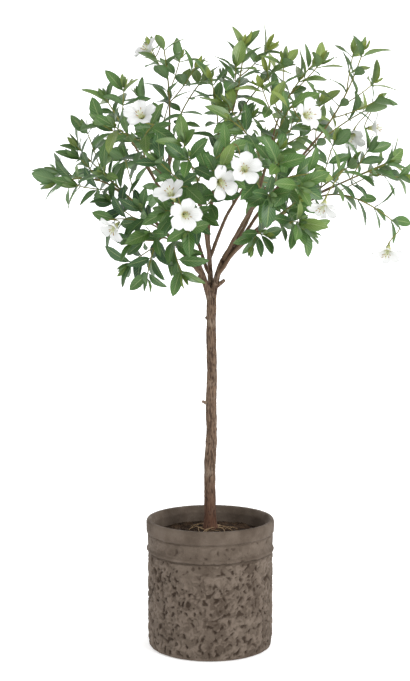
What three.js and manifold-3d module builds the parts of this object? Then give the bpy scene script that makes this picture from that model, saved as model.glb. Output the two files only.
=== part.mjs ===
// A potted azalea grown as a standard: a clear trunk in a heavy stoneware pot of soil, forking into a
// round head of thin branches, leafy shoots and white funnel-shaped flowers.
// Millimetres, +Z up, the origin at the centre of the pot's underside, the plant's front towards -Y.
import * as THREE from 'three';
import { mergeVertices } from 'three/addons/utils/BufferGeometryUtils.js';
import Module from 'manifold-3d';

const wasm = await Module();
wasm.setup();

// ---------------------------------------------------------------- driving dimensions

const GAP = 0.3; // clearance between pieces that touch
const SHORTEST_EDGE = 0.15; // joined solids keep no edge shorter than this

const POT = {
  height: 304,
  rimRadius: 152,
  bandRadius: 148.5,
  bodyRadius: 147,
  footRadius: 140,
  wall: 11,
  floor: 18,
  rimBand: 31, // height of the smooth band under the lip
  lowerBand: 38, // height of the band below it, down to the bead
  sides: 32,
};

const SOIL = { level: 268, mound: 12 };

const TRUNK = { footRadius: 14.5, forkRadius: 11.5, buried: 120, sides: 8, steps: 12 };
const LIMB = { sides: 6, steps: 4 };
const STUB = { sides: 5, steps: 1, taper: 0.8 };
const ROOTS = { count: 5, reach: 85, drop: 70, baseRadius: 6.5, tipRadius: 2.5, sides: 5, steps: 3 };
const BRANCH = { baseRadius: 4.5, tipRadius: 3, sides: 5, steps: 5 };

// A shoot carries leaves and side twigs at its nodes, each node a share of the way up. Of the three
// faces round a node, the first few carry something.
const SHOOT = {
  baseRadius: 2.8,
  tipRadius: 1.6,
  node: 3.2, // height of a node
  turn: 1.1, // turn of each node on from the one below, radians
  spread: 0.2, // how far down the branch each further shoot starts
  nodes: [
    { share: 0.28, twigs: 1, leaves: 1 },
    { share: 0.42, twigs: 1, leaves: 2 },
    { share: 0.58, twigs: 1, leaves: 2 },
    { share: 0.76, twigs: 0, leaves: 3 },
    { share: 0.94, twigs: 0, leaves: 3 },
  ],
};

const TWIG = {
  baseRadius: 1.8,
  tipRadius: 1.4,
  node: 2.8,
  turn: 1.1,
  splay: 0.8, // angle between a twig and its shoot, radians
  lengthShare: 0.55, // of its shoot's length
  longest: 110,
  nodes: [
    { share: 0.5, twigs: 0, leaves: 3 },
    { share: 0.9, twigs: 0, leaves: 3 },
  ],
};

const LEAF = {
  length: 66,
  width: 28,
  keel: 0.9, // depth of the midrib under the blade
  face: 0.4, // rise of the blade's edges over its middle line
  droop: 0.16, // fall of the tip, as a share of the length
  shoulder: { share: 0.34, width: 0.5 },
  taper: { share: 0.7, width: 0.41 },
  baseSplay: 1.2, // angle between a low leaf and its stem, radians
  tipSplay: 0.75,
  roll: 1.3, // the most that a leaf rolls to face the light, radians
  clearance: 0.9, // free space that a leaf needs round it
};

// The middle of the leafy head, and how far its leaves turn to the sky rather than outwards.
const HEAD = { middle: [0, 80, 1020], sky: 0.1 };

const FLOWER = {
  radius: 34,
  depth: 30,
  tube: 4.2,
  throat: 9,
  wall: 1.4,
  notch: 0.74, // radius between two lobes, as a share of the lobes' own
  lobes: 5,
  stalkRadius: 1.5,
  budRadius: 3,
  budFoot: 3.6, // how far past the shoot's own end its bud starts
  budLength: 9,
  styleLength: 36,
  styleRadius: 1.3,
};

// ---------------------------------------------------------------- the plant's framework

// Centreline of the trunk, from the root ball up to the fork.
const TRUNK_LINE = [
  [0, 0, SOIL.level - TRUNK.buried], [0, 0, 280], [-1, 1, 420], [3, -2, 500], [2, 2, 580],
  [4, 0, 650], [2, -2, 740], [3, 0, 828],
];

// The three limbs that the trunk forks into: they grew with it, in one piece. Each is named by its
// start, the point it bends towards, and its end.
const LIMBS = {
  left: { line: [[1, 0, 815], [-16, -6, 895], [-52, -4, 946]], radii: [8.5, 6] },
  right: { line: [[5, 2, 818], [14, 8, 905], [52, 10, 950]], radii: [8.5, 6] },
  rear: { line: [[3, 4, 822], [0, 24, 885], [-4, 36, 950]], radii: [7.5, 5.5] },
};

// Cut ends of pruned side shoots on the trunk and limbs: where each starts, and which way it points.
const STUBS = [
  { at: [1, 0, 574], towards: [-0.85, -0.25, 0.45], length: 24, radius: 4 },
  { at: [0, 0, 515], towards: [0.95, -0.2, 0.25], length: 17, radius: 5 },
  { at: [2, -1, 776], towards: [-0.9, 0.3, 0.35], length: 16, radius: 3.5 },
  { at: [11, 5, 852], towards: [0.75, -0.25, 0.6], length: 30, radius: 5.5 },
  { at: [-8, -3, 860], towards: [-0.68, -0.2, 0.7], length: 30, radius: 4 },
  { at: [3, 0, 700], towards: [0.2, 0.95, 0.3], length: 18, radius: 4 },
];

// Each branch leaves a limb, at a share of its length, and ends where its last shoot starts. Every
// shoot is named by its tip, the last one first.
const BRANCHES = [
  { limb: 'left', share: 1, end: [-95, 10, 1235], tips: [[-108, -8, 1408], [-20, 60, 1335], [-160, 40, 1295]] },
  { limb: 'left', share: 0.8, end: [-165, -60, 1165], tips: [[-236, -60, 1282], [-125, -210, 1215]] },
  { limb: 'left', share: 0.66, end: [-225, 10, 1085], tips: [[-360, 6, 1096], [-312, 50, 1180], [-240, -134, 1116]] },
  { limb: 'left', share: 0.58, end: [-110, -60, 985], tips: [[-222, -110, 1012], [-144, -98, 880], [-66, -90, 890]] },
  { limb: 'rear', share: 1, end: [50, 5, 1255], tips: [[78, -12, 1408], [162, 40, 1368], [2, -74, 1326]] },
  { limb: 'right', share: 1, end: [145, -30, 1205], tips: [[232, -20, 1362], [175, -176, 1258], [40, -190, 1230]] },
  { limb: 'right', share: 0.9, end: [250, 30, 1200], tips: [[352, 0, 1398], [372, 70, 1270]] },
  { limb: 'right', share: 0.78, end: [290, -40, 1090], tips: [[415, -20, 1145], [425, -70, 1000], [290, -150, 1120]] },
  { limb: 'right', share: 0.55, end: [118, -55, 1000], tips: [[215, -100, 985], [96, -80, 952]] },
  { limb: 'rear', share: 0.78, end: [-30, -160, 1075], tips: [[40, -285, 1165], [-70, -285, 1085], [-50, -215, 985]] },
  { limb: 'right', share: 0.82, end: [115, -180, 1075], tips: [[215, -275, 1110], [125, -300, 1060]] },
  { limb: 'rear', share: 0.6, end: [-110, 150, 1110], tips: [[-240, 190, 1165], [-120, 265, 1060]] },
  { limb: 'rear', share: 0.9, end: [115, 145, 1130], tips: [[262, 175, 1235], [125, 270, 1070], [30, 190, 1275]] },
];

// Each truss of flowers grows from the tip of a shoot: tip counts the shoots of a branch, its last
// one first. A flower is named by the middle of its throat and the way it looks.
const TRUSSES = [
  { branch: 1, tip: 1, flowers: [{ at: [-146, 30, 1404], facing: [-0.55, -0.35, 0.7] }] },
  { branch: 2, tip: 2, flowers: [{ at: [-148, -262, 1232], facing: [-0.2, -0.8, 0.5] }] },
  { branch: 4, tip: 1, flowers: [{ at: [-216, -150, 992], facing: [-0.55, -0.5, -0.6] }] },
  { branch: 6, tip: 2, flowers: [{ at: [206, -226, 1236], facing: [0.5, -0.7, 0.2] }] },
  {
    branch: 7,
    tip: 2,
    flowers: [
      { at: [334, 46, 1206], facing: [-0.25, -0.6, -0.75] },
      { at: [394, 108, 1230], facing: [0.8, -0.3, 0.1] },
    ],
  },
  { branch: 8, tip: 2, flowers: [{ at: [402, -96, 938], facing: [-0.15, -0.5, -0.85] }] },
  { branch: 8, tip: 3, flowers: [{ at: [246, -190, 1040], facing: [-0.3, -0.45, -0.85] }] },
  {
    branch: 10,
    tip: 1,
    flowers: [
      { at: [70, -345, 1118], facing: [0.15, -0.95, 0.2] },
      { at: [22, -340, 1090], facing: [0.45, -0.85, -0.15] },
    ],
  },
  {
    branch: 10,
    tip: 2,
    flowers: [
      { at: [-84, -322, 1066], facing: [-0.35, -0.6, 0.7] },
      { at: [-54, -326, 1022], facing: [0.1, -0.95, -0.1] },
    ],
  },
  { branch: 13, tip: 2, flowers: [{ at: [122, 335, 1092], facing: [0.2, 0.9, 0.3] }] },
];

// ---------------------------------------------------------------- materials

const finish = (color, roughness) => new THREE.MeshStandardMaterial({ color, roughness, metalness: 0 });

const MATERIALS = {
  stoneware: finish(0x6e6257, 0.9),
  soil: finish(0x2e231b, 1),
  bark: finish(0x5e4a3b, 0.85),
  leaf: finish(0x35602f, 0.45),
  petal: finish(0xf1efec, 0.6),
};

// ---------------------------------------------------------------- points, curves and solids

const point = (coordinates) => new THREE.Vector3(...coordinates);
const upwards = new THREE.Vector3(0, 0, 1);
const profileOf = (pairs) => pairs.map(([radius, z]) => new THREE.Vector2(radius, z));

// A bend from a start to an end, drawn towards a point between them.
const bend = (start, towards, end) => new THREE.QuadraticBezierCurve3(start, towards, end);

// An even scatter between 0 and 1, the same at every build.
function scatter(seed) {
  const value = Math.sin(seed * 12.9898) * 43758.5453;
  return value - Math.floor(value);
}

// Points and the triangles between them, as a solid.
function solidOf(positions, triangles) {
  return new wasm.Manifold(new wasm.Mesh({
    numProp: 3,
    vertProperties: new Float32Array(positions),
    triVerts: new Uint32Array(triangles),
  }));
}

// A closed geometry as a solid.
function solid(geometry) {
  const bare = geometry.clone();
  bare.deleteAttribute('normal');
  bare.deleteAttribute('uv');
  const merged = mergeVertices(bare, 1e-3);
  return solidOf(merged.attributes.position.array, merged.index.array);
}

// A solid as a named mesh, ready for the scene.
function meshOf(shape, name, material) {
  const { vertProperties, triVerts } = shape.getMesh();
  const geometry = new THREE.BufferGeometry();
  geometry.setAttribute('position', new THREE.BufferAttribute(new Float32Array(vertProperties), 3));
  geometry.setIndex(new THREE.BufferAttribute(new Uint32Array(triVerts), 1));
  geometry.computeVertexNormals();
  const mesh = new THREE.Mesh(geometry, material);
  mesh.name = name;
  return mesh;
}

const joined = (shapes) => shapes.reduce((whole, shape) => whole.add(shape));

// A joined solid without the tiny edges that joining leaves: the two ends of each are drawn together,
// wherever that leaves the surface closed.
function tidied(shape) {
  const { vertProperties, triVerts } = shape.getMesh();
  const corners = Array.from({ length: vertProperties.length / 3 }, (_, i) => new THREE.Vector3()
    .fromArray(vertProperties, i * 3));
  let triangles = Array.from({ length: triVerts.length / 3 }, (_, i) => [...triVerts.slice(i * 3, i * 3 + 3)]);
  const around = (corner) => new Set(triangles.filter((t) => t.includes(corner)).flat());
  const isShort = ([a, b]) => a !== b && corners[a].distanceTo(corners[b]) < SHORTEST_EDGE;
  for (let looking = true; looking;) {
    const edges = triangles.flatMap(([a, b, c]) => [[a, b], [b, c], [c, a]]).filter(isShort);
    const found = edges.find(([a, b]) => {
      const [one, other] = [around(a), around(b)];
      return [...one].filter((corner) => other.has(corner)).length === 4;
    });
    looking = Boolean(found);
    if (found) {
      const [kept, dropped] = found;
      triangles = triangles.map((t) => t.map((corner) => (corner === dropped ? kept : corner)))
        .filter(([a, b, c]) => a !== b && b !== c && c !== a);
    }
  }
  const used = [...new Set(triangles.flat())];
  const renumbered = new Map(used.map((corner, index) => [corner, index]));
  return solidOf(
    used.flatMap((corner) => corners[corner].toArray()),
    triangles.flat().map((corner) => renumbered.get(corner)),
  );
}

// A round stem that tapers along a curve.
function stem(curve, { baseRadius, tipRadius, sides, steps }, extra = 0) {
  const geometry = new THREE.CylinderGeometry(tipRadius + extra, baseRadius + extra, 1, sides, steps);
  const { normals, binormals } = curve.computeFrenetFrames(steps, false);
  const corners = geometry.attributes.position;
  for (let i = 0; i < corners.count; i += 1) {
    const step = Math.round((corners.getY(i) + 0.5) * steps);
    const place = curve.getPointAt(step / steps)
      .addScaledVector(normals[step], corners.getX(i))
      .addScaledVector(binormals[step], -corners.getZ(i));
    corners.setXYZ(i, place.x, place.y, place.z);
  }
  return solid(geometry);
}

// ---------------------------------------------------------------- pot and soil

function pot() {
  const { height, rimRadius, bandRadius, bodyRadius, footRadius, wall, floor } = POT;
  const bandTop = height - POT.rimBand;
  const beadTop = bandTop - POT.lowerBand;
  const profile = profileOf([
    [0, 0], [footRadius, 0], [footRadius + 5, 2], [bodyRadius - 1.5, 9], [bodyRadius, 24],
    [bodyRadius, beadTop - 12], [bodyRadius - 2, beadTop - 7], [bandRadius + 1.5, beadTop - 4],
    [bandRadius + 1.5, beadTop], [bandRadius - 0.5, beadTop + 4], [bandRadius, bandTop - 5],
    [bandRadius - 1, bandTop - 1], [rimRadius - 0.5, bandTop + 2], [rimRadius, height - 6],
    [rimRadius - 2.5, height], [rimRadius - wall + 2, height], [rimRadius - wall, height - 3],
    [bodyRadius - wall, height - 16], [bodyRadius - wall, floor + 6], [bodyRadius - wall - 6, floor], [0, floor],
  ]);
  return solid(new THREE.LatheGeometry(profile, POT.sides).rotateX(Math.PI / 2));
}

function soil(wood) {
  const radius = POT.bodyRadius - POT.wall - GAP;
  const bed = POT.floor + GAP;
  const profile = profileOf([
    [0, bed], [radius - 6, bed], [radius, bed + 6], [radius, SOIL.level - 4], [radius - 12, SOIL.level],
    [60, SOIL.level + SOIL.mound * 0.4], [24, SOIL.level + SOIL.mound], [0, SOIL.level + SOIL.mound],
  ]);
  return tidied(solid(new THREE.LatheGeometry(profile, POT.sides).rotateX(Math.PI / 2)).subtract(wood));
}

// ---------------------------------------------------------------- trunk and branches

const limbCurves = Object.fromEntries(
  Object.entries(LIMBS).map(([name, { line }]) => [name, bend(...line.map(point))]),
);

// The trunk with its limbs, pruned stubs and roots. extra swells it, to cut its neighbours clear.
function trunk(extra = 0) {
  const main = new THREE.CatmullRomCurve3(TRUNK_LINE.map(point), false, 'centripetal');
  const parts = [stem(main, { baseRadius: TRUNK.footRadius, tipRadius: TRUNK.forkRadius, ...TRUNK }, extra)];
  for (const [name, { radii: [baseRadius, tipRadius] }] of Object.entries(LIMBS)) {
    parts.push(stem(limbCurves[name], { baseRadius, tipRadius, ...LIMB }, extra));
  }
  for (const { at, towards, length, radius } of STUBS) {
    const end = point(at).addScaledVector(point(towards).normalize(), length);
    const size = { baseRadius: radius, tipRadius: radius * STUB.taper, ...STUB };
    parts.push(stem(new THREE.LineCurve3(point(at), end), size, extra));
  }
  for (let i = 0; i < ROOTS.count; i += 1) {
    const angle = (i / ROOTS.count) * 2 * Math.PI + 0.4;
    const out = new THREE.Vector3(Math.cos(angle), Math.sin(angle), 0).multiplyScalar(ROOTS.reach);
    const crown = new THREE.Vector3(0, 0, SOIL.level - 2);
    const shoulder = crown.clone().addScaledVector(out, 0.5).setZ(SOIL.level - 6);
    const end = crown.clone().add(out).setZ(SOIL.level - ROOTS.drop);
    parts.push(stem(bend(crown, shoulder, end), ROOTS, extra));
  }
  return tidied(joined(parts));
}

// Where a side stem starts: just clear of its parent's surface, on the side that it grows towards. A
// stem that goes on from its parent's end starts just past that end.
function startBeside(parent, share, parentRadius, radius, target) {
  const start = parent.getPoint(share);
  const heading = parent.getTangent(share);
  if (share === 1) return start.addScaledVector(heading, GAP);
  const side = target.clone().sub(start);
  side.addScaledVector(heading, -side.dot(heading)).normalize();
  return start.addScaledVector(side, parentRadius + radius + GAP);
}

// A branch leaves its limb along the limb, and bends out to its end.
function branchCurve({ limb, share, end }) {
  const parent = limbCurves[limb];
  const target = point(end);
  const radius = THREE.MathUtils.lerp(...LIMBS[limb].radii, share);
  const start = startBeside(parent, share, radius, BRANCH.baseRadius, target);
  const reach = start.distanceTo(target);
  const ahead = start.clone().addScaledVector(parent.getTangent(share), reach * 0.3);
  if (share === 1) return bend(start, ahead, target);
  const middle = start.clone().lerp(target, 0.5).addScaledVector(upwards, reach * 0.1);
  return bend(start, ahead.lerp(middle, 0.6), target);
}

// The shoots of a branch: the first goes on from its end, the others leave it lower down.
function shootCurves({ tips }, line) {
  return tips.map((tip, order) => {
    const share = 1 - SHOOT.spread * order;
    const target = point(tip);
    const radius = THREE.MathUtils.lerp(BRANCH.baseRadius, BRANCH.tipRadius, share);
    const start = startBeside(line, share, radius, SHOOT.baseRadius, target);
    const reach = start.distanceTo(target);
    return bend(start, start.clone().addScaledVector(line.getTangent(share), reach * 0.45), target);
  });
}

// ---------------------------------------------------------------- flowers

// Outline of a flower from the foot of its tube: out along the funnel to the rim of its lobes, back
// down inside to the foot of the style, and up the style.
const FLOWER_OUTLINE = [
  [FLOWER.tube, 3], [FLOWER.throat, 18], [24, 27], [FLOWER.radius, FLOWER.depth],
  [24, 27 + FLOWER.wall], [FLOWER.throat - FLOWER.wall, 18 + FLOWER.wall],
  [FLOWER.styleRadius * 1.5, 13], [FLOWER.styleRadius, FLOWER.styleLength],
];

// A closed skin over rings of corners, drawn to a point at each end.
function skinned(rings, first, last) {
  const sides = rings[0].length;
  const positions = [first, ...rings.flat(), last].flatMap((corner) => corner.toArray());
  const end = rings.length * sides + 1;
  const triangles = [];
  for (let k = 0; k < sides; k += 1) {
    const next = (k + 1) % sides;
    triangles.push(0, 1 + next, 1 + k, end - sides + k, end - sides + next, end);
    for (let base = 1; base < end - sides; base += sides) {
      triangles.push(base + k, base + next, base + sides + next);
      triangles.push(base + k, base + sides + next, base + sides + k);
    }
  }
  return solidOf(positions, triangles);
}

// A flower and its stalk, from the shoot's tip: a funnel with broad lobes and a notch between each two.
function flower({ at, facing }, start, heading) {
  const look = point(facing).normalize();
  const foot = point(at).addScaledVector(look, -FLOWER.depth * 0.65);
  const reach = start.distanceTo(foot);
  const line = new THREE.CubicBezierCurve3(
    start,
    start.clone().addScaledVector(heading, reach * 0.35),
    foot.clone().addScaledVector(look, -reach * 0.35),
    foot,
  );
  const across = heading.clone().cross(look).normalize();
  const ringIn = ({ middle, across: side, over }, radius) => {
    const open = THREE.MathUtils.smoothstep(radius, FLOWER.throat, FLOWER.radius);
    return Array.from({ length: FLOWER.lobes * 2 }, (_, k) => {
      const angle = (k / FLOWER.lobes) * Math.PI;
      const out = radius * (k % 2 === 0 ? 1 : 1 - (1 - FLOWER.notch) * open);
      return middle.clone().addScaledVector(side, out * Math.cos(angle))
        .addScaledVector(over, out * Math.sin(angle));
    });
  };
  const rings = [0, 0.5, 1].map((share) => ringIn(frameAt(line, share, across), FLOWER.stalkRadius));
  const face = frameAt(line, 1, across);
  for (const [radius, depth] of FLOWER_OUTLINE) {
    rings.push(ringIn({ ...face, middle: foot.clone().addScaledVector(look, depth) }, radius));
  }
  const tip = foot.clone().addScaledVector(look, FLOWER.styleLength + 2);
  return skinned(rings, start, tip);
}

// A truss: its flowers, which share a bud at the shoot's tip where there is more than one.
function truss({ flowers }, shoot) {
  const heading = shoot.getTangent(1);
  const start = shoot.getPoint(1).addScaledVector(heading, FLOWER.budFoot);
  if (flowers.length === 1) return flower(flowers[0], start, heading);
  const end = start.clone().addScaledVector(heading, FLOWER.budLength);
  const size = { baseRadius: FLOWER.budRadius, tipRadius: FLOWER.budRadius * 0.8, sides: 5, steps: 1 };
  const inside = start.clone().lerp(end, 0.6);
  const bud = stem(new THREE.LineCurve3(start, end), size);
  return tidied(joined([bud, ...flowers.map((entry) => flower(entry, inside, heading))]));
}

// ---------------------------------------------------------------- leaves

// Three directions at a place on a stem: ahead along it, across it, and over it.
function frameAt(curve, share, across) {
  const ahead = curve.getTangent(share);
  const over = ahead.clone().cross(across).normalize();
  return { middle: curve.getPoint(share), ahead, across: over.clone().cross(ahead), over };
}

// The direction at right angles to the plane that a bend lies in.
function acrossOf({ v0, v1, v2 }) {
  const side = v1.clone().sub(v0).cross(v2.clone().sub(v0));
  return side.length() > 1 ? side.normalize() : upwards.clone().cross(v2.clone().sub(v0)).normalize();
}

// A frame turned about its own length.
function rolled({ middle, ahead, across, over }, angle) {
  const [c, s] = [Math.cos(angle), Math.sin(angle)];
  return {
    middle,
    ahead,
    across: across.clone().multiplyScalar(c).addScaledVector(over, s),
    over: over.clone().multiplyScalar(c).addScaledVector(across, -s),
  };
}

// Something that grows from a face of its parent: the frame of its foot, ahead leaning from the
// parent's own heading by the splay, over on the side of the parent's tip.
function leaning(foot, heading, out, side, splay) {
  const ahead = heading.clone().multiplyScalar(Math.cos(splay)).addScaledVector(out, Math.sin(splay));
  return { middle: foot, ahead, across: side, over: ahead.clone().cross(side) };
}

// How far a leaf rolls about its midrib to lay its face to the light, outwards from the head.
function rollToLight({ middle, ahead, across, over }) {
  const light = middle.clone().sub(point(HEAD.middle)).normalize().addScaledVector(upwards, HEAD.sky);
  light.addScaledVector(ahead, -ahead.dot(light));
  return THREE.MathUtils.clamp(Math.atan2(-light.dot(across), light.dot(over)), -LEAF.roll, LEAF.roll);
}

// The middle line of a leaf at a share of its length: it arches over, away from the shoot's tip.
function midrib({ middle, ahead, over }, length, share) {
  return middle.clone().addScaledVector(ahead, length * share)
    .addScaledVector(over, -LEAF.droop * length * share ** 2);
}

// The three corners of a leaf's section: its keel and its two edges.
function leafSection(frame, length, width, { share, width: open }, extra = 0) {
  const middle = midrib(frame, length, share);
  const edge = width * open + extra;
  return [
    middle.clone().addScaledVector(frame.over, -LEAF.keel - extra),
    middle.clone().addScaledVector(frame.across, edge).addScaledVector(frame.over, LEAF.face + extra),
    middle.clone().addScaledVector(frame.across, -edge).addScaledVector(frame.over, LEAF.face + extra),
  ];
}

// A list that starts at another of its entries.
const turned = (list, first) => [...list.slice(first), ...list.slice(0, first)];

// The band of triangles between the four corners of a face and the three of a ring.
function neckBand([a, b, c, d], [keel, right, left]) {
  return [
    [a, b, keel], [b, c, right], [b, right, keel], [c, d, left], [c, left, right], [d, a, keel],
    [d, keel, left],
  ];
}

// A surface that grows: rings of three corners joined up into stems, with leaves and twigs drawn out
// of the faces between two rings.
class Growth {
  constructor() {
    this.corners = [];
    this.triangles = [];
  }

  ring(places) {
    return places.map((place) => this.corners.push(place) - 1);
  }

  skin(low, high, skipped = 0) {
    for (let k = skipped; k < 3; k += 1) {
      const [a, b, c, d] = [low[k], low[(k + 1) % 3], high[(k + 1) % 3], high[k]];
      this.triangles.push(a, b, d, b, c, d);
    }
  }

  // Joins the four corners of a face to the three of the first ring of what grows from it, by the band
  // of triangles that holds the most, which is the one that twists least.
  neck(face, ring) {
    const middle = this.corners[face[0]];
    const corner = (index) => this.corners[index].clone().sub(middle);
    const heldBy = (band) => band.reduce((sum, [a, b, c]) => sum + corner(a).dot(corner(b).cross(corner(c))), 0);
    const bands = face.flatMap((_, i) => ring.map((__, k) => neckBand(turned(face, i), turned(ring, k))));
    const best = bands.reduce((most, band) => (heldBy(band) > heldBy(most) ? band : most));
    this.triangles.push(...best.flat());
  }

  point(ring, place) {
    const tip = this.corners.push(place) - 1;
    for (let k = 0; k < 3; k += 1) this.triangles.push(ring[k], ring[(k + 1) % 3], tip);
  }

  leaf(face, frame, length, width) {
    const shoulder = this.ring(leafSection(frame, length, width, LEAF.shoulder));
    const taper = this.ring(leafSection(frame, length, width, LEAF.taper));
    this.neck(face, shoulder);
    this.skin(shoulder, taper);
    this.point(taper, midrib(frame, length, 1));
  }

  solid() {
    return solidOf(this.corners.flatMap((corner) => corner.toArray()), this.triangles);
  }
}

// The space that a leaf needs: the leaf itself from near its foot, swollen by the clearance.
function roomFor(frame, length, width) {
  const room = new Growth();
  const foot = room.ring(leafSection(frame, length, width, { share: 0.14, width: 0.08 }, LEAF.clearance));
  const shoulder = room.ring(leafSection(frame, length, width, LEAF.shoulder, LEAF.clearance));
  const taper = room.ring(leafSection(frame, length, width, LEAF.taper, LEAF.clearance));
  room.triangles.push(foot[2], foot[1], foot[0]);
  room.skin(foot, shoulder);
  room.skin(shoulder, taper);
  room.point(taper, midrib(frame, length + LEAF.clearance * 2, 1));
  return room.solid();
}

// Solids already in place, each with its box, so that what grows next can be tested against them.
const placed = [];

function boxOf(shape) {
  const { min, max } = shape.boundingBox();
  return new THREE.Box3(point(min), point(max));
}

function place(shape) {
  placed.push({ shape, box: boxOf(shape) });
  return shape;
}

function isClear(shape, own) {
  const box = boxOf(shape);
  return !placed.some((other) => other.shape !== own
    && box.intersectsBox(other.box) && shape.intersect(other.shape).volume() > 0);
}

// The curve of a side twig: it leans out from its shoot, then turns to follow it.
function twigCurve({ middle, ahead }, heading, length) {
  const elbow = middle.clone().addScaledVector(ahead, length * 0.5);
  const on = ahead.clone().addScaledVector(heading, 0.35).addScaledVector(upwards, 0.15).normalize();
  return bend(middle, elbow, elbow.clone().addScaledVector(on, length * 0.5));
}

// Grows a stem with everything on it, from a ring at its foot. own is the solid of its own wood.
function growStem(growth, { curve, across, ring, kind, seed, own, skipped }) {
  const length = curve.getLength();
  const ringAt = (share, turn) => {
    const frame = rolled(frameAt(curve, share, across), turn);
    const radius = THREE.MathUtils.lerp(kind.baseRadius, kind.tipRadius, share);
    const corners = [-90, 30, 150].map(THREE.MathUtils.degToRad).map((angle) => frame.middle.clone()
      .addScaledVector(frame.across, Math.cos(angle) * radius)
      .addScaledVector(frame.over, Math.sin(angle) * radius));
    return growth.ring(corners);
  };
  let last = ring ?? ringAt(0, 0);
  if (!ring) growth.triangles.push(last[2], last[1], last[0]);
  kind.nodes.forEach(({ share, twigs, leaves }, order) => {
    const turn = kind.turn * (order + 1);
    const low = ringAt(share, turn);
    const high = ringAt(share + kind.node / length, turn);
    growth.skin(last, low);
    for (let k = 0; k < 3; k += 1) {
      const face = [low[k], low[(k + 1) % 3], high[(k + 1) % 3], high[k]];
      const [a, b, c, d] = face.map((index) => growth.corners[index]);
      const heading = d.clone().sub(a).add(c).sub(b).normalize();
      const side = b.clone().sub(a).add(c).sub(d).normalize();
      const out = side.clone().cross(heading).normalize();
      const foot = a.clone().add(b).add(c).add(d).multiplyScalar(0.25);
      const number = seed + order * 3 + k;
      if (k < twigs) {
        growTwig(growth, face, { foot, heading, out, side, length, seed: number, own });
      } else if (k < twigs + leaves) {
        growLeaf(growth, face, { foot, heading, out, side, share, seed: number, own });
      } else {
        growth.triangles.push(face[0], face[1], face[3], face[1], face[2], face[3]);
      }
    }
    last = high;
  });
  growth.point(last, frameAt(curve, 1, across).middle.clone().addScaledVector(curve.getTangent(1), 3));
}

function closeFace(growth, [a, b, c, d]) {
  growth.triangles.push(a, b, d, b, c, d);
}

function growLeaf(growth, face, { foot, heading, out, side, share, seed, own }) {
  const splay = THREE.MathUtils.lerp(LEAF.baseSplay, LEAF.tipSplay, share) + (scatter(seed) - 0.5) * 0.5;
  const upright = leaning(foot, heading, out, side, splay);
  const frame = rolled(upright, rollToLight(upright));
  const size = 0.78 + 0.34 * scatter(seed + 0.5);
  const [length, width] = [LEAF.length * size, LEAF.width * size];
  const room = roomFor(frame, length, width);
  if (!isClear(room, own)) return closeFace(growth, face);
  place(room);
  return growth.leaf(face, frame, length, width);
}

function growTwig(growth, face, { foot, heading, out, side, length, seed, own }) {
  const frame = leaning(foot, heading, out, side, TWIG.splay);
  const curve = twigCurve(frame, heading, Math.min(length * TWIG.lengthShare, TWIG.longest));
  const reach = { ...TWIG, sides: 4, steps: 3 };
  const clear = curve.clone();
  clear.v0.addScaledVector(frame.ahead, SHOOT.baseRadius * 2);
  if (!isClear(stem(clear, reach, LEAF.clearance), own)) return closeFace(growth, face);
  const wood = place(stem(clear, reach));
  const start = growth.ring([-90, 30, 150].map(THREE.MathUtils.degToRad).map((angle) => foot.clone()
    .addScaledVector(frame.ahead, SHOOT.baseRadius)
    .addScaledVector(frame.across, Math.cos(angle) * TWIG.baseRadius)
    .addScaledVector(frame.over, Math.sin(angle) * TWIG.baseRadius)));
  growth.neck(face, start);
  return growStem(growth, { curve, across: side, ring: start, kind: TWIG, seed: seed * 7.3, own: wood });
}

// ---------------------------------------------------------------- the whole plant

const number = (index) => String(index + 1).padStart(2, '0');
const azalea = new THREE.Group();
azalea.name = 'potted_azalea';

azalea.add(meshOf(place(pot()), 'pot', MATERIALS.stoneware));
azalea.add(meshOf(place(trunk()), 'trunk', MATERIALS.bark));
azalea.add(meshOf(place(soil(trunk(GAP))), 'soil', MATERIALS.soil));

const branchCurves = BRANCHES.map(branchCurve);
branchCurves.forEach((curve, index) => {
  azalea.add(meshOf(place(stem(curve, BRANCH)), `branch_${number(index)}`, MATERIALS.bark));
});

const stick = { ...SHOOT, sides: 5, steps: 4 };
const shoots = BRANCHES.flatMap((branch, index) => shootCurves(branch, branchCurves[index])
  .map((curve, order) => ({ curve, own: place(stem(curve, stick)), branch: index + 1, tip: order + 1 })));

TRUSSES.forEach((entry, index) => {
  const { curve } = shoots.find(({ branch, tip }) => branch === entry.branch && tip === entry.tip);
  azalea.add(meshOf(place(truss(entry, curve)), `flower_${number(index)}`, MATERIALS.petal));
});

shoots.forEach(({ curve, own }, index) => {
  const growth = new Growth();
  growStem(growth, { curve, across: acrossOf(curve), kind: SHOOT, seed: index * 101, own });
  azalea.add(meshOf(growth.solid(), `shoot_${number(index)}`, MATERIALS.leaf));
});

export default azalea;
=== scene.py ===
"""A potted azalea grown as a standard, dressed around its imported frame.

Metres, +Z up, the origin at the centre of the pot's underside, the plant's front towards -Y. Sizes
that belong to the plant's framework are given in millimetres, as a grower would note them.
"""

import logging
import math
from dataclasses import dataclass, field
from enum import Enum
from typing import Any, Callable, Iterable, Optional, Sequence, Union

import bpy
import numpy as np
from mathutils import Matrix, Vector, kdtree, noise


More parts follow.
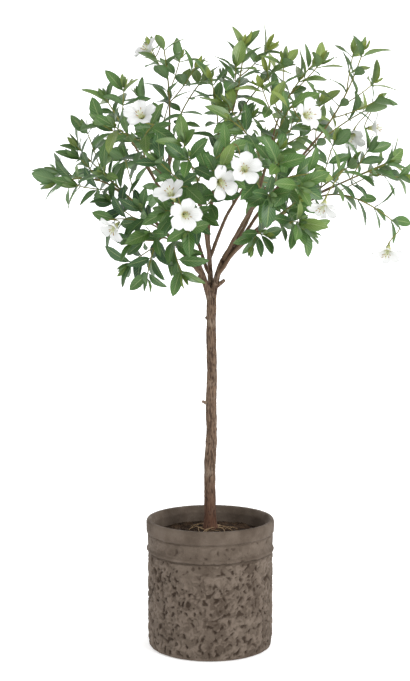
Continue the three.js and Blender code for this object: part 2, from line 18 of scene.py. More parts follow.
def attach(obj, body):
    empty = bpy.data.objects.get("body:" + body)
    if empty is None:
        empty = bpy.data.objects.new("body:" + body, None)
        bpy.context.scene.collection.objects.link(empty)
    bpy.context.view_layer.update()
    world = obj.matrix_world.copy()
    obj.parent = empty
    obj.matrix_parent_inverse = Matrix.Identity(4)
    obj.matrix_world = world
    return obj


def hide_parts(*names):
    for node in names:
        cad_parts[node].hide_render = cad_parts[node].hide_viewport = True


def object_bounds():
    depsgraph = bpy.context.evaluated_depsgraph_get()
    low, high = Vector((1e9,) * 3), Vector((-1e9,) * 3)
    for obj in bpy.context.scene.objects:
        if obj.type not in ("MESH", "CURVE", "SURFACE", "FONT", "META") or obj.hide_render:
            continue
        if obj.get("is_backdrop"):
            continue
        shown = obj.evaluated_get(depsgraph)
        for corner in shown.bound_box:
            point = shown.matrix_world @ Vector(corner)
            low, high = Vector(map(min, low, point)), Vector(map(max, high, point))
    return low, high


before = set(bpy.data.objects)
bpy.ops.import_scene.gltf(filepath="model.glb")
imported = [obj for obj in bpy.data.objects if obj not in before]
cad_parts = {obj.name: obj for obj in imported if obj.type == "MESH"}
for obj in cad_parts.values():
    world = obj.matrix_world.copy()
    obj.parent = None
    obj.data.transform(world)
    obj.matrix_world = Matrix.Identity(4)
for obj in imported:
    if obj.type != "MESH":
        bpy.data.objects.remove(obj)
CAD_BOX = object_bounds()

LOG = logging.getLogger("azalea")
MM = 0.001
UP = Vector((0.0, 0.0, 1.0))
ROOT = "root"
Colour = tuple[float, float, float]
Point = Union[Vector, Sequence[float]]


def paint(red: int, green: int, blue: int) -> Colour:
    """A colour named by its display values from 0 to 255, as the linear values that shaders use."""
    return tuple(((c / 255 + 0.055) / 1.055) ** 2.4 if c > 10 else c / 255 / 12.92 for c in (red, green, blue))


def lerp(low: float, high: float, share: float) -> float:
    """The value a share of the way from low to high."""
    return low + (high - low) * share


def smooth(value: float, low: float, high: float) -> float:
    """0 below low, 1 above high, and a smooth rise between them."""
    share = min(max((value - low) / (high - low), 0.0), 1.0)
    return share * share * (3 - 2 * share)


def scatter(seed: float) -> float:
    """An even scatter between 0 and 1, the same at every build."""
    value = math.sin(seed * 12.9898) * 43758.5453
    return value - math.floor(value)


def metres(coordinates: Point) -> Vector:
    """A place given in millimetres, in metres."""
    return Vector(coordinates) * MM


# ---------------------------------------------------------------- nodes as Python expressions


class Sock:
    """An output socket that takes part in Python arithmetic through Math nodes."""

    def __init__(self, graph: "Graph", socket: bpy.types.NodeSocket) -> None:
        """Holds a socket of one graph."""
        self.graph = graph
        self.socket = socket

    def _maths(self, operation: str, *terms: Any) -> "Sock":
        """The result of one Math node on the terms."""
        return self.graph.node("ShaderNodeMath", {"operation": operation}, dict(enumerate(terms)))

    def __add__(self, other: Any) -> "Sock":
        """self + other."""
        return self._maths("ADD", self, other)

    __radd__ = __add__

    def __mul__(self, other: Any) -> "Sock":
        """self * other."""
        return self._maths("MULTIPLY", self, other)

    __rmul__ = __mul__

    def __sub__(self, other: Any) -> "Sock":
        """self - other."""
        return self._maths("SUBTRACT", self, other)

    def __rsub__(self, other: Any) -> "Sock":
        """other - self."""
        return self._maths("SUBTRACT", other, self)

    def __truediv__(self, other: Any) -> "Sock":
        """self / other."""
        return self._maths("DIVIDE", self, other)

    def __pow__(self, other: Any) -> "Sock":
        """self to the power of other."""
        return self._maths("POWER", self, other)

    def absolute(self) -> "Sock":
        """The value without its sign."""
        return self._maths("ABSOLUTE", self)

    def sine(self) -> "Sock":
        """The sine of the value in radians."""
        return self._maths("SINE", self)

    def at_least(self, other: Any) -> "Sock":
        """The larger of the value and the other."""
        return self._maths("MAXIMUM", self, other)

    def rise(self, low: float, high: float) -> "Sock":
        """0 below low, 1 above high, and a smooth rise between them."""
        settings = {"interpolation_type": "SMOOTHSTEP"}
        return self.graph.node("ShaderNodeMapRange", settings, {"Value": self, "From Min": low, "From Max": high})


class Graph:
    """A node tree, and the one way to add nodes to it."""

    def __init__(self, tree: bpy.types.NodeTree) -> None:
        """Starts on a tree that is already empty."""
        self.tree = tree

    @staticmethod
    def _find(sockets: Any, key: Union[int, str]) -> bpy.types.NodeSocket:
        """A socket by its index, its identifier or its name."""
        if isinstance(key, int):
            return sockets[key]
        named = [s for s in sockets if s.identifier == key] or [s for s in sockets if s.name == key and s.enabled]
        return named[0]

    def add(self, kind: str, settings: Optional[dict] = None, inputs: Optional[dict] = None) -> bpy.types.Node:
        """Adds a node.

        Args:
            kind: the node's type.
            settings: its properties, set first. "stops" sets a ramp's positions and colours.
            inputs: sockets by index, identifier or name, with a value or a Sock for each.

        Returns:
            The node.
        """
        made = self.tree.nodes.new(kind)
        for key, value in (settings or {}).items():
            if key == "stops":
                elements = made.color_ramp.elements
                while len(elements) < len(value):
                    elements.new(0.5)
                for element, (place, colour) in zip(elements, value):
                    element.position, element.color = place, (*colour, 1.0)
            else:
                setattr(made, key, value)
        for key, value in (inputs or {}).items():
            socket = self._find(made.inputs, key)
            if isinstance(value, Sock):
                self.tree.links.new(value.socket, socket)
            elif socket.type == "RGBA":
                socket.default_value = (*value[:3], 1.0)
            else:
                socket.default_value = value
        return made

    def node(self, kind: str, settings: Optional[dict] = None, inputs: Optional[dict] = None,
             output: Union[int, str] = 0) -> Sock:
        """Adds a node as add does, and gives one of its outputs."""
        return Sock(self, self._find(self.add(kind, settings, inputs).outputs, output))

    def mix(self, share: Any, first: Any, second: Any, blend: str = "MIX") -> Sock:
        """Two colours mixed by a share from 0 to 1."""
        settings = {"data_type": "RGBA", "blend_type": blend}
        inputs = {"Factor_Float": share, "A_Color": first, "B_Color": second}
        return self.node("ShaderNodeMix", settings, inputs, "Result_Color")

    def grain(self, place: Sock, scale: float, detail: float = 2.0, roughness: float = 0.5) -> Sock:
        """A noise value round 0.5 at a place."""
        inputs = {"Vector": place, "Scale": scale, "Detail": detail, "Roughness": roughness}
        return self.node("ShaderNodeTexNoise", {}, inputs, "Fac")

    def cells(self, place: Sock, scale: float, feature: str = "F1", output: str = "Distance") -> Sock:
        """A Voronoi pattern's distance or colour at a place."""
        return self.node("ShaderNodeTexVoronoi", {"feature": feature}, {"Vector": place, "Scale": scale}, output)

    def stretched(self, place: Sock, scale: Point) -> Sock:
        """A place with each of its axes scaled."""
        return self.node("ShaderNodeMapping", {}, {"Vector": place, "Scale": scale}, "Vector")

    def place(self) -> Sock:
        """The place on the object, in metres."""
        return self.node("ShaderNodeTexCoord", {}, {}, "Object")

    def height(self) -> Sock:
        """The height over the object's origin."""
        return self.node("ShaderNodeSeparateXYZ", {}, {"Vector": self.place()}, "Z")

    def attribute(self, name: str, output: str = "Fac") -> Sock:
        """A value stored on the mesh."""
        return self.node("ShaderNodeAttribute", {"attribute_name": name}, {}, output)

    def bump(self, height: Sock, distance: float, strength: float = 1.0) -> Sock:
        """A normal bent by a height."""
        inputs = {"Height": height, "Distance": distance, "Strength": strength}
        return self.node("ShaderNodeBump", {}, inputs, "Normal")


# ---------------------------------------------------------------- finishes


@dataclass(frozen=True)
class Finish:
    """A surface finish: its name, its mean roughness and how strongly it shines."""

    name: str
    roughness: float
    shine: float = 0.5

    def material(self) -> bpy.types.Material:
        """The finish as a material, made once."""
        if self.name in bpy.data.materials:
            return bpy.data.materials[self.name]
        made = bpy.data.materials.new(self.name)
        made.use_nodes = True
        made.node_tree.nodes.clear()
        graph = Graph(made.node_tree)
        inputs = {"Roughness": self.roughness, "Specular IOR Level": self.shine}
        surface = graph.add("ShaderNodeBsdfPrincipled", {}, {**inputs, **self.constants(), **self.looks(graph)})
        graph.add("ShaderNodeOutputMaterial", {}, {"Surface": Sock(graph, surface.outputs[0])})
        return made

    def constants(self) -> dict[str, Any]:
        """Shader inputs that are the same all over the surface."""
        return {}

    def looks(self, graph: Graph) -> dict[str, Sock]:
        """Shader inputs that change over the surface."""
        raise NotImplementedError


@dataclass(frozen=True)
class Stoneware(Finish):
    """Rough grey-brown stoneware, with painted shade in its pits and pale on its worn heights."""

    name: str = "eroded_stoneware"
    roughness: float = 0.86
    shine: float = 0.25
    # dark colour for the cloudy tone and the speckle, also used as the painted shade in the pits
    dark_tone_and_pit_shade: Colour = paint(58, 46, 36)
    body: Colour = paint(106, 94, 83)
    worn: Colour = paint(136, 122, 110)

    def looks(self, graph: Graph) -> dict[str, Sock]:
        """Cloudy body colour, with painted shade in the low hollows and wear on the heights of the relief stored on
        the mesh.
        """
        place = graph.place()
        relief = graph.attribute("relief")
        clouds = graph.grain(place, 22.0, 3.0).rise(0.3, 0.7)
        speckle = graph.grain(place, 420.0, 3.0, 0.7)
        ground = graph.mix(clouds * 0.55, self.body, self.dark_tone_and_pit_shade)
        ground = graph.mix(relief.rise(0.5, 0.95) * 0.4, ground, self.worn)
        # painted shade: the dark colour laid into the low hollows of the relief
        ground = graph.mix(relief.rise(0.42, 0.0) * 0.85, ground, self.dark_tone_and_pit_shade)
        ground = graph.mix(speckle.rise(0.58, 0.75) * 0.35, ground, self.worn)
        ground = graph.mix(speckle.rise(0.42, 0.25) * 0.45, ground, self.dark_tone_and_pit_shade)
        tooth = graph.grain(place, 260.0, 4.0, 0.65) + graph.cells(place, 160.0) * 0.35
        return {
            "Base Color": ground,
            "Roughness": 0.78 + clouds * 0.14,
            "Normal": graph.bump(tooth, 0.0016, 0.7),
        }


@dataclass(frozen=True)
class Compost(Finish):
    """Dark crumbly potting soil with paler fibres and grit."""

    name: str = "compost"
    roughness: float = 0.95
    shine: float = 0.15
    damp: Colour = paint(38, 28, 21)
    dry: Colour = paint(74, 57, 43)
    grit: Colour = paint(128, 108, 84)

    def looks(self, graph: Graph) -> dict[str, Sock]:
        """Damp and dry crumbs with a little grit."""
        place = graph.place()
        crumbs = graph.cells(place, 210.0)
        patches = graph.grain(place, 45.0, 4.0, 0.6)
        ground = graph.mix(patches.rise(0.35, 0.68), self.damp, self.dry)
        ground = graph.mix(graph.grain(place, 330.0, 2.0).rise(0.66, 0.74), ground, self.grit)
        height = 0.6 - crumbs + graph.grain(place, 500.0, 3.0) * 0.5
        return {"Base Color": ground, "Normal": graph.bump(height, 0.0025, 0.8)}


@dataclass(frozen=True)
class Bark(Finish):
    """Grey-brown bark in long flakes, redder towards the foot of the trunk."""

    name: str = "flaking_bark"
    roughness: float = 0.82
    shine: float = 0.3
    # dark fissure colour for the streaks, also used as painted shade in the cracks
    fissure_and_crack_shade: Colour = paint(52, 36, 27)
    flake: Colour = paint(122, 100, 82)
    weathered: Colour = paint(150, 134, 118)
    foot: Colour = paint(96, 60, 44)
    foot_height: float = 0.42

    def looks(self, graph: Graph) -> dict[str, Sock]:
        """Streaks along the stem, and the relief stored on the mesh darkening its cracks: partly the bark's own dark
        fissures, partly painted shade.
        """
        place = graph.place()
        relief = graph.attribute("relief")
        streaks = graph.grain(graph.stretched(place, (1.0, 1.0, 0.16)), 300.0, 4.0, 0.6)
        patches = graph.grain(place, 38.0, 3.0, 0.6)
        ground = graph.mix(streaks.rise(0.3, 0.62), self.fissure_and_crack_shade, self.flake)
        ground = graph.mix(patches.rise(0.5, 0.72) * 0.55, ground, self.weathered)
        ground = graph.mix(graph.height().rise(self.foot_height, 0.29) * 0.7, ground, self.foot)
        # partly the bark's own dark fissures and partly painted shade: the dark colour laid into the low cracks of the
        # relief
        ground = graph.mix(relief.rise(0.45, 0.1) * 0.8, ground, self.fissure_and_crack_shade)
        height = streaks + graph.grain(place, 900.0, 2.0) * 0.3
        return {
            "Base Color": ground,
            "Roughness": 0.74 + patches * 0.2,
            "Normal": graph.bump(height, 0.0012, 0.8),
        }


@dataclass(frozen=True)
class GreenWood(Finish):
    """Young wood: brown at the foot of a twig, olive-yellow towards its tip."""

    name: str = "green_wood"
    roughness: float = 0.6
    shine: float = 0.4
    old: Colour = paint(104, 82, 62)
    young: Colour = paint(126, 128, 58)
    flush: Colour = paint(150, 112, 84)

    def looks(self, graph: Graph) -> dict[str, Sock]:
        """A change from brown to olive along the twig, with fine streaks."""
        place = graph.place()
        streaks = graph.grain(place, 420.0, 3.0, 0.6)
        ground = graph.mix(graph.attribute("age").rise(0.25, 0.9), self.old, self.young)
        ground = graph.mix(streaks.rise(0.5, 0.75) * 0.6, ground, self.flush)
        return {"Base Color": ground, "Normal": graph.bump(streaks, 0.0006, 0.6)}


@dataclass(frozen=True)
class Foliage(Finish):
    """Satin leaves: a paler midrib and side veins, a dull pale underside, yellower when young, and yellower still with
    the painted light that each leaf's tint carries.
    """

    name: str = "foliage"
    roughness: float = 0.4
    shine: float = 0.5
    deep: Colour = paint(34, 76, 42)
    mature: Colour = paint(76, 114, 52)
    young: Colour = paint(150, 164, 76)
    vein: Colour = paint(150, 170, 108)
    underside: Colour = paint(124, 152, 108)

    def looks(self, graph: Graph) -> dict[str, Sock]:
        """Veins from the blade's own map, and a tint of its own for each leaf, which holds painted light as well as
        the leaf's age.
        """
        blade = graph.node("ShaderNodeUVMap", {"uv_map": "blade"}, {}, "UV")
        parts = graph.add("ShaderNodeSeparateXYZ", {}, {"Vector": blade})
        along, across = Sock(graph, parts.outputs[0]), (Sock(graph, parts.outputs[1]) - 0.5).absolute() * 2.0
        midrib = across.rise(0.11, 0.02)
        ribs = ((along * 9.0 - across * 2.6) * (2 * math.pi)).sine().rise(0.62, 1.0) * across.rise(1.0, 0.75)
        tint = graph.attribute("tint")
        place = graph.place()
        clouds = graph.grain(place, 60.0, 3.0)
        ground = graph.mix(tint.rise(0.05, 0.5), self.deep, self.mature)
        # the young colour also carries the painted light held in the tint
        ground = graph.mix(tint.rise(0.45, 1.0), ground, self.young)
        ground = graph.mix(clouds.rise(0.45, 0.8) * 0.35, ground, self.deep)
        ground = graph.mix(ribs * 0.3, ground, self.vein)
        ground = graph.mix(midrib * 0.65, ground, self.vein)
        ground = graph.mix(graph.attribute("under") * 0.6, ground, self.underside)
        height = ribs * -0.5 - midrib + clouds * 0.3
        return {
            "Base Color": ground,
            "Roughness": 0.34 + graph.attribute("under") * 0.3 + clouds * 0.12,
            "Normal": graph.bump(height, 0.0008, 0.7),
        }


@dataclass(frozen=True)
class Petal(Finish):
    """Matt white petals with fine veins and a greenish-yellow throat."""

    name: str = "white_petal"
    roughness: float = 0.62
    shine: float = 0.25
    white: Colour = paint(230, 231, 230)
    shade: Colour = paint(200, 203, 200)
    throat: Colour = paint(196, 198, 122)

    def constants(self) -> dict[str, Any]:
        """Light passes a little way into a petal."""
        return {"Subsurface Weight": 0.2, "Subsurface Radius": (0.004, 0.004, 0.004), "Subsurface Scale": 1.0}

    def looks(self, graph: Graph) -> dict[str, Sock]:
        """Veins that fan out from the throat."""
        blade = graph.node("ShaderNodeUVMap", {"uv_map": "blade"}, {}, "UV")
        parts = graph.add("ShaderNodeSeparateXYZ", {}, {"Vector": blade})
        along, across = Sock(graph, parts.outputs[0]), Sock(graph, parts.outputs[1])
        veins = (across * 44.0 + graph.grain(graph.place(), 90.0) * 3.0).sine().rise(0.3, 1.0)
        ground = graph.mix(veins * along.rise(1.0, 0.4) * 0.5, self.white, self.shade)
        ground = graph.mix(along.rise(0.5, 0.26) * 0.9, ground, self.throat)
        return {"Base Color": ground, "Normal": graph.bump(veins, 0.0007, 0.5)}


@dataclass(frozen=True)
class Stamen(Finish):
    """Pale green filaments that end in tan anthers."""

    name: str = "stamen"
    roughness: float = 0.55
    filament: Colour = paint(214, 220, 176)
    anther: Colour = paint(158, 122, 74)

    def looks(self, graph: Graph) -> dict[str, Sock]:
        """The anther's colour at the end of each filament."""
        grain = graph.grain(graph.place(), 900.0, 2.0)
        ground = graph.mix(graph.attribute("age").rise(0.86, 0.92), self.filament, self.anther)
        return {"Base Color": graph.mix(grain * 0.25, ground, self.filament), "Normal": graph.bump(grain, 0.0003, 0.6)}


@dataclass(frozen=True)
class Fibre(Finish):
    """Dry beige root fibres lying on the soil."""

    name: str = "fibre"
    roughness: float = 0.8
    straw: Colour = paint(178, 152, 116)
    shadow: Colour = paint(118, 92, 66)

    def looks(self, graph: Graph) -> dict[str, Sock]:
        """Mottled straw."""
        grain = graph.grain(graph.place(), 380.0, 3.0, 0.6)
        return {"Base Color": graph.mix(grain.rise(0.35, 0.65), self.shadow, self.straw),
                "Normal": graph.bump(grain, 0.0005, 0.6)}


@dataclass(frozen=True)
class StudioPaper(Finish):
    """The plain pale paper that the pot stands on."""

    name: str = "studio_paper"
    roughness: float = 0.95
    shine: float = 0.0
    white: Colour = (0.95, 0.95, 0.95)

    def constants(self) -> dict[str, Any]:
        """The paper is lit from below as well, so that it stays white."""
        return {"Emission Color": self.white, "Emission Strength": 0.45}

    def looks(self, graph: Graph) -> dict[str, Sock]:
        """A barely seen tooth."""
        grain = graph.grain(graph.place(), 30.0, 2.0)
        return {"Base Color": graph.mix(grain * 0.04, self.white, (0.9, 0.9, 0.9))}


@dataclass(frozen=True)
class BackPaper(StudioPaper):
    """The same paper behind the plant, lit evenly from behind."""

    name: str = "back_paper"

    def constants(self) -> dict[str, Any]:
        """It glows white."""
        return {"Emission Color": (1.0, 1.0, 1.0), "Emission Strength": 0.6}


class Slot(Enum):
    """The plant's material slots."""

    STONEWARE = "stoneware"
    SOIL = "soil"
    BARK = "bark"
    LEAF = "leaf"
    PETAL = "petal"


# ---------------------------------------------------------------- meshes


def mesh_object(name: str, corners: Any, faces: Iterable[Sequence[int]], finish: Optional[Finish] = None,
                values: Optional[dict[str, Sequence[float]]] = None,
                blade: Optional[Sequence[Sequence[float]]] = None) -> bpy.types.Object:
    """A smooth mesh object at the origin.

    Args:
        name: the object's name.
        corners: its corners, in metres.
        faces: corner indices of each face.
        finish: what it is dressed in.
        values: numbers stored on its corners, by name.
        blade: a flat map of its corners, stored as the map "blade".

    Returns:
        The object, linked to the scene.
    """
    mesh = bpy.data.meshes.new(name)
    mesh.from_pydata([tuple(corner) for corner in corners], [], [tuple(face) for face in faces])
    for label, numbers in (values or {}).items():
        mesh.attributes.new(label, "FLOAT", "POINT").data.foreach_set("value", np.asarray(numbers, dtype=np.float32))
    if blade is not None:
        flat = np.asarray(blade, dtype=np.float32)[[loop.vertex_index for loop in mesh.loops]]
        mesh.uv_layers.new(name="blade").data.foreach_set("uv", flat.ravel())
    mesh.shade_smooth()
    if finish:
        mesh.materials.append(finish.material())
    made = bpy.data.objects.new(name, mesh)
    bpy.context.scene.collection.objects.link(made)
    return made


def grid_faces(rows: int, columns: int, wrapped: bool = False) -> list[tuple[int, int, int, int]]:
    """The quads of a grid of corners that is stored row by row, closed round its rows if wrapped."""
    across = columns if wrapped else columns - 1
    return [
        (row * columns + k, row * columns + (k + 1) % columns,
         (row + 1) * columns + (k + 1) % columns, (row + 1) * columns + k)
        for row in range(rows - 1) for k in range(across)
    ]


def shell(sheet: np.ndarray, thickness: np.ndarray) -> tuple[np.ndarray, list[tuple[int, ...]], np.ndarray]:
    """A thin closed body on a sheet of corners.

    Args:
        sheet: rows by columns by 3 corners of its upper side.
        thickness: rows by columns of its depth below that. Where it is 0 the two sides share a corner.

    Returns:
        Its corners, its faces, and 1 for each corner of the lower side, 0 for the rest.
    """
    rows, columns, _ = sheet.shape
    along = np.gradient(sheet, axis=0)
    across = np.gradient(sheet, axis=1)
    normal = np.cross(along, across)
    normal /= np.linalg.norm(normal, axis=2, keepdims=True) + 1e-12
    lower = sheet - normal * thickness[..., None]
    top = np.arange(rows * columns).reshape(rows, columns)
    bottom = top.copy()
    apart = thickness > 0
    bottom[apart] = rows * columns + np.arange(int(apart.sum()))
    corners = np.vstack([sheet.reshape(-1, 3), lower[apart]])
    faces: list[tuple[int, ...]] = []
    for i in range(rows - 1):
        for k in range(columns - 1):
            faces.append((top[i, k], top[i + 1, k], top[i + 1, k + 1], top[i, k + 1]))
            faces.append((bottom[i, k], bottom[i, k + 1], bottom[i + 1, k + 1], bottom[i + 1, k]))
    border = [(0, k) for k in range(columns)] + [(i, columns - 1) for i in range(1, rows)]
    border += [(rows - 1, k) for k in range(columns - 2, -1, -1)] + [(i, 0) for i in range(rows - 2, 0, -1)]
    for one, other in zip(border, border[1:] + border[:1]):
        faces.append((top[one], top[other], bottom[other], bottom[one]))
    tidy = [tuple(dict.fromkeys(int(c) for c in face)) for face in faces]
    below = np.zeros(len(corners))
    below[rows * columns:] = 1.0
    return corners, [face for face in tidy if len(face) > 2], below


def present(piece: bpy.types.Object, slot: Slot, *nodes: str) -> bpy.types.Object:
    """Makes a finished piece ride on the plant and hides the framework's nodes that it stands for."""
    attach(piece, ROOT)
    if nodes:
        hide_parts(*nodes)
    LOG.info("%s: %d faces", piece.name, len(piece.data.polygons))
    return piece


# ---------------------------------------------------------------- Geometry Nodes recipes


class Recipe:
    """A Geometry Nodes tree with named inputs, which turns one source object into a plain mesh."""

    def __init__(self, name: str, inputs: dict[str, str]) -> None:
        """Starts a tree.

        Args:
            name: the tree's name.
            inputs: the type of each input beside the geometry, by name.
        """
        self.tree = bpy.data.node_groups.new(name, "GeometryNodeTree")
        face = self.tree.interface
        face.new_socket("Geometry", in_out="INPUT", socket_type="NodeSocketGeometry")
        self.identifiers = {
            label: face.new_socket(label, in_out="INPUT", socket_type=kind).identifier
            for label, kind in inputs.items()
        }
        face.new_socket("Geometry", in_out="OUTPUT", socket_type="NodeSocketGeometry")
        self.graph = Graph(self.tree)
        self._entry = self.graph.add("NodeGroupInput")

    def given(self, label: str = "Geometry") -> Sock:
        """One of the tree's inputs."""
        return Sock(self.graph, self._entry.outputs[label])

    def stored(self, label: str, kind: str = "FLOAT") -> Sock:
        """A value stored on the source's corners."""
        return self.graph.node("GeometryNodeInputNamedAttribute", {"data_type": kind}, {"Name": label}, "Attribute")

    def end(self, geometry: Sock) -> "Recipe":
        """Ends the tree in real geometry that wears the material given."""
        real = self.graph.node("GeometryNodeRealizeInstances", {}, {"Geometry": geometry})
        inputs = {"Geometry": real, "Material": self.given("Material")}
        self.graph.add("NodeGroupOutput", {}, {0: self.graph.node("GeometryNodeSetMaterial", {}, inputs)})
        return self

    def make(self, source: bpy.types.Object, name: str, values: dict[str, Any]) -> bpy.types.Object:
        """Runs the tree on a source, which it uses up.

        Args:
            source: the object whose mesh goes in.
            name: the made piece's name.
            values: a value for each of the tree's inputs.

        Returns:
            A plain mesh object at the origin.
        """
        modifier = source.modifiers.new(self.tree.name, "NODES")
        modifier.node_group = self.tree
        for label, value in values.items():
            modifier[self.identifiers[label]] = value
        depsgraph = bpy.context.evaluated_depsgraph_get()
        mesh = bpy.data.meshes.new_from_object(
            source.evaluated_get(depsgraph), preserve_all_data_layers=True, depsgraph=depsgraph)
        mesh.name = name
        mesh.shade_smooth()
        bpy.data.objects.remove(source)
        made = bpy.data.objects.new(name, mesh)
        bpy.context.scene.collection.objects.link(made)
        return made


def stem_recipe() -> Recipe:
    """Round stems swept along the source's edges, as thick as each corner's girth."""
    recipe = Recipe("swept_stems", {"Sides": "NodeSocketInt", "Material": "NodeSocketMaterial"})
    graph = recipe.graph
    lines = graph.node("GeometryNodeMeshToCurve", {}, {"Mesh": recipe.given()})
    section = graph.node("GeometryNodeCurvePrimitiveCircle", {}, {"Resolution": recipe.given("Sides"), "Radius": 1.0})
    inputs = {"Curve": lines, "Profile Curve": section, "Scale": recipe.stored("girth"), "Fill Caps": True}
    return recipe.end(graph.node("GeometryNodeCurveToMesh", {}, inputs))


def growth_recipe() -> Recipe:
    """Parts set on the source's corners: each corner holds its part's kind, turn and size."""
    recipe = Recipe("set_parts", {"Parts": "NodeSocketCollection", "Material": "NodeSocketMaterial"})
    graph = recipe.graph
    settings = {"transform_space": "ORIGINAL"}
    inputs = {"Collection": recipe.given("Parts"), "Separate Children": True, "Reset Children": True}
    parts = graph.node("GeometryNodeCollectionInfo", settings, inputs)
    turn = graph.node("FunctionNodeEulerToRotation", {}, {"Euler": recipe.stored("turn", "FLOAT_VECTOR")})
    inputs = {
        "Points": recipe.given(), "Instance": parts, "Pick Instance": True,
        "Instance Index": recipe.stored("kind", "INT"), "Rotation": turn,
        "Scale": recipe.stored("size", "FLOAT_VECTOR"),
    }
    return recipe.end(graph.node("GeometryNodeInstanceOnPoints", {}, inputs))


def crumb_recipe() -> Recipe:
    """Crumbs scattered over the source's surface, from a fixed seed."""
    recipe = Recipe("scattered_crumbs", {
        "Parts": "NodeSocketCollection", "Density": "NodeSocketFloat", "Smallest": "NodeSocketFloat",
        "Largest": "NodeSocketFloat", "Seed": "NodeSocketInt", "Material": "NodeSocketMaterial"})
    graph = recipe.graph
    inputs = {"Mesh": recipe.given(), "Density": recipe.given("Density"), "Seed": recipe.given("Seed")}
    points = graph.node("GeometryNodeDistributePointsOnFaces", {}, inputs, "Points")
    parts = graph.node("GeometryNodeCollectionInfo", {"transform_space": "ORIGINAL"}, {
        "Collection": recipe.given("Parts"), "Separate Children": True, "Reset Children": True})
    turn = graph.node("FunctionNodeRandomValue", {"data_type": "FLOAT_VECTOR"}, {
        "Min": (0.0, 0.0, 0.0), "Max": (6.28, 6.28, 6.28), "Seed": recipe.given("Seed")}, "Value")
    size = graph.node("FunctionNodeRandomValue", {"data_type": "FLOAT"}, {
        "Min_001": recipe.given("Smallest"), "Max_001": recipe.given("Largest"), "Seed": recipe.given("Seed")},
        "Value_001")
    inputs = {
        "Points": points, "Instance": parts, "Pick Instance": True, "Scale": size,
        "Rotation": graph.node("FunctionNodeEulerToRotation", {}, {"Euler": turn}),
    }
    return recipe.end(graph.node("GeometryNodeInstanceOnPoints", {}, inputs))


@dataclass
class Lines:
    """Centre lines of stems, to be swept: their corners, edges, girths and ages."""

    corners: list[Vector] = field(default_factory=list)
    edges: list[tuple[int, int]] = field(default_factory=list)
    girths: list[float] = field(default_factory=list)
    ages: list[float] = field(default_factory=list)

    def add(self, places: Sequence[Vector], girths: Sequence[float], ages: Sequence[float]) -> None:
        """Adds one line."""
        first = len(self.corners)
        self.corners += list(places)
        self.girths += list(girths)
        self.ages += list(ages)
        self.edges += [(first + i, first + i + 1) for i in range(len(places) - 1)]

    def sweep(self, recipe: Recipe, name: str, finish: Finish, sides: int = 8) -> bpy.types.Object:
        """The stems as one plain mesh."""
        mesh = bpy.data.meshes.new(name + "_lines")
        mesh.from_pydata([tuple(corner) for corner in self.corners], self.edges, [])
        for label, numbers in (("girth", self.girths), ("age", self.ages)):
            mesh.attributes.new(label, "FLOAT", "POINT").data.foreach_set("value", numbers)
        source = bpy.data.objects.new(name + "_lines", mesh)
        bpy.context.scene.collection.objects.link(source)
        return recipe.make(source, name, {"Sides": sides, "Material": finish.material()})


@dataclass
class Settings:
    """Places for parts such as leaves and petals: where each sits, how it is turned, and its size."""

    places: list[Vector] = field(default_factory=list)
    turns: list[tuple[float, float, float]] = field(default_factory=list)
    sizes: list[tuple[float, float, float]] = field(default_factory=list)
    kinds: list[int] = field(default_factory=list)
    tints: list[float] = field(default_factory=list)

    def add(self, pose: "Pose", size: tuple[float, float, float], kind: int, tint: float = 0.0) -> None:
        """Adds one part, its length ahead and its face over."""
        turn = Matrix((pose.ahead, pose.across, pose.over)).transposed().to_euler("XYZ")
        self.places.append(pose.middle)
        self.turns.append(tuple(turn))
        self.sizes.append(size)
        self.kinds.append(kind)
        self.tints.append(tint)

    def set_out(self, recipe: Recipe, name: str, finish: Finish, parts: bpy.types.Collection) -> bpy.types.Object:
        """The parts as one plain mesh."""
        mesh = bpy.data.meshes.new(name + "_places")
        mesh.from_pydata([tuple(place) for place in self.places], [], [])
        for label, triples in (("turn", self.turns), ("size", self.sizes)):
            made = mesh.attributes.new(label, "FLOAT_VECTOR", "POINT")
            made.data.foreach_set("vector", np.asarray(triples, dtype=np.float32).ravel())
        mesh.attributes.new("kind", "INT", "POINT").data.foreach_set("value", self.kinds)
        mesh.attributes.new("tint", "FLOAT", "POINT").data.foreach_set("value", self.tints)
        source = bpy.data.objects.new(name + "_places", mesh)
        bpy.context.scene.collection.objects.link(source)
        return recipe.make(source, name, {"Parts": parts, "Material": finish.material()})


# ---------------------------------------------------------------- curves and poses


@dataclass(frozen=True)
class Bend:
    """A curve from a start to an end, drawn towards one or two points between them."""

    points: tuple[Vector, ...]

    def point(self, share: float) -> Vector:
        """The place at a share of the way along."""
        places = list(self.points)
        while len(places) > 1:
            places = [one.lerp(other, share) for one, other in zip(places, places[1:])]
        return places[0]

    def tangent(self, share: float) -> Vector:
        """The heading at a share of the way along."""
        low, high = max(share - 1e-4, 0.0), min(share + 1e-4, 1.0)
        steps = [other - one for one, other in zip(self.points, self.points[1:])]
        return Bend(tuple(steps)).point((low + high) / 2).normalized()

    def length(self, steps: int = 200) -> float:
        """The length along the curve."""
        places = [self.point(i / steps) for i in range(steps + 1)]
        return sum((other - one).length for one, other in zip(places, places[1:]))

    def side(self) -> Vector:
        """The direction at right angles to the plane that the curve lies in."""
        start, towards, end = self.points[0], self.points[1], self.points[-1]
        normal = (towards - start).cross(end - start)
        return normal.normalized() if normal.length > MM * MM else UP.cross(end - start).normalized()


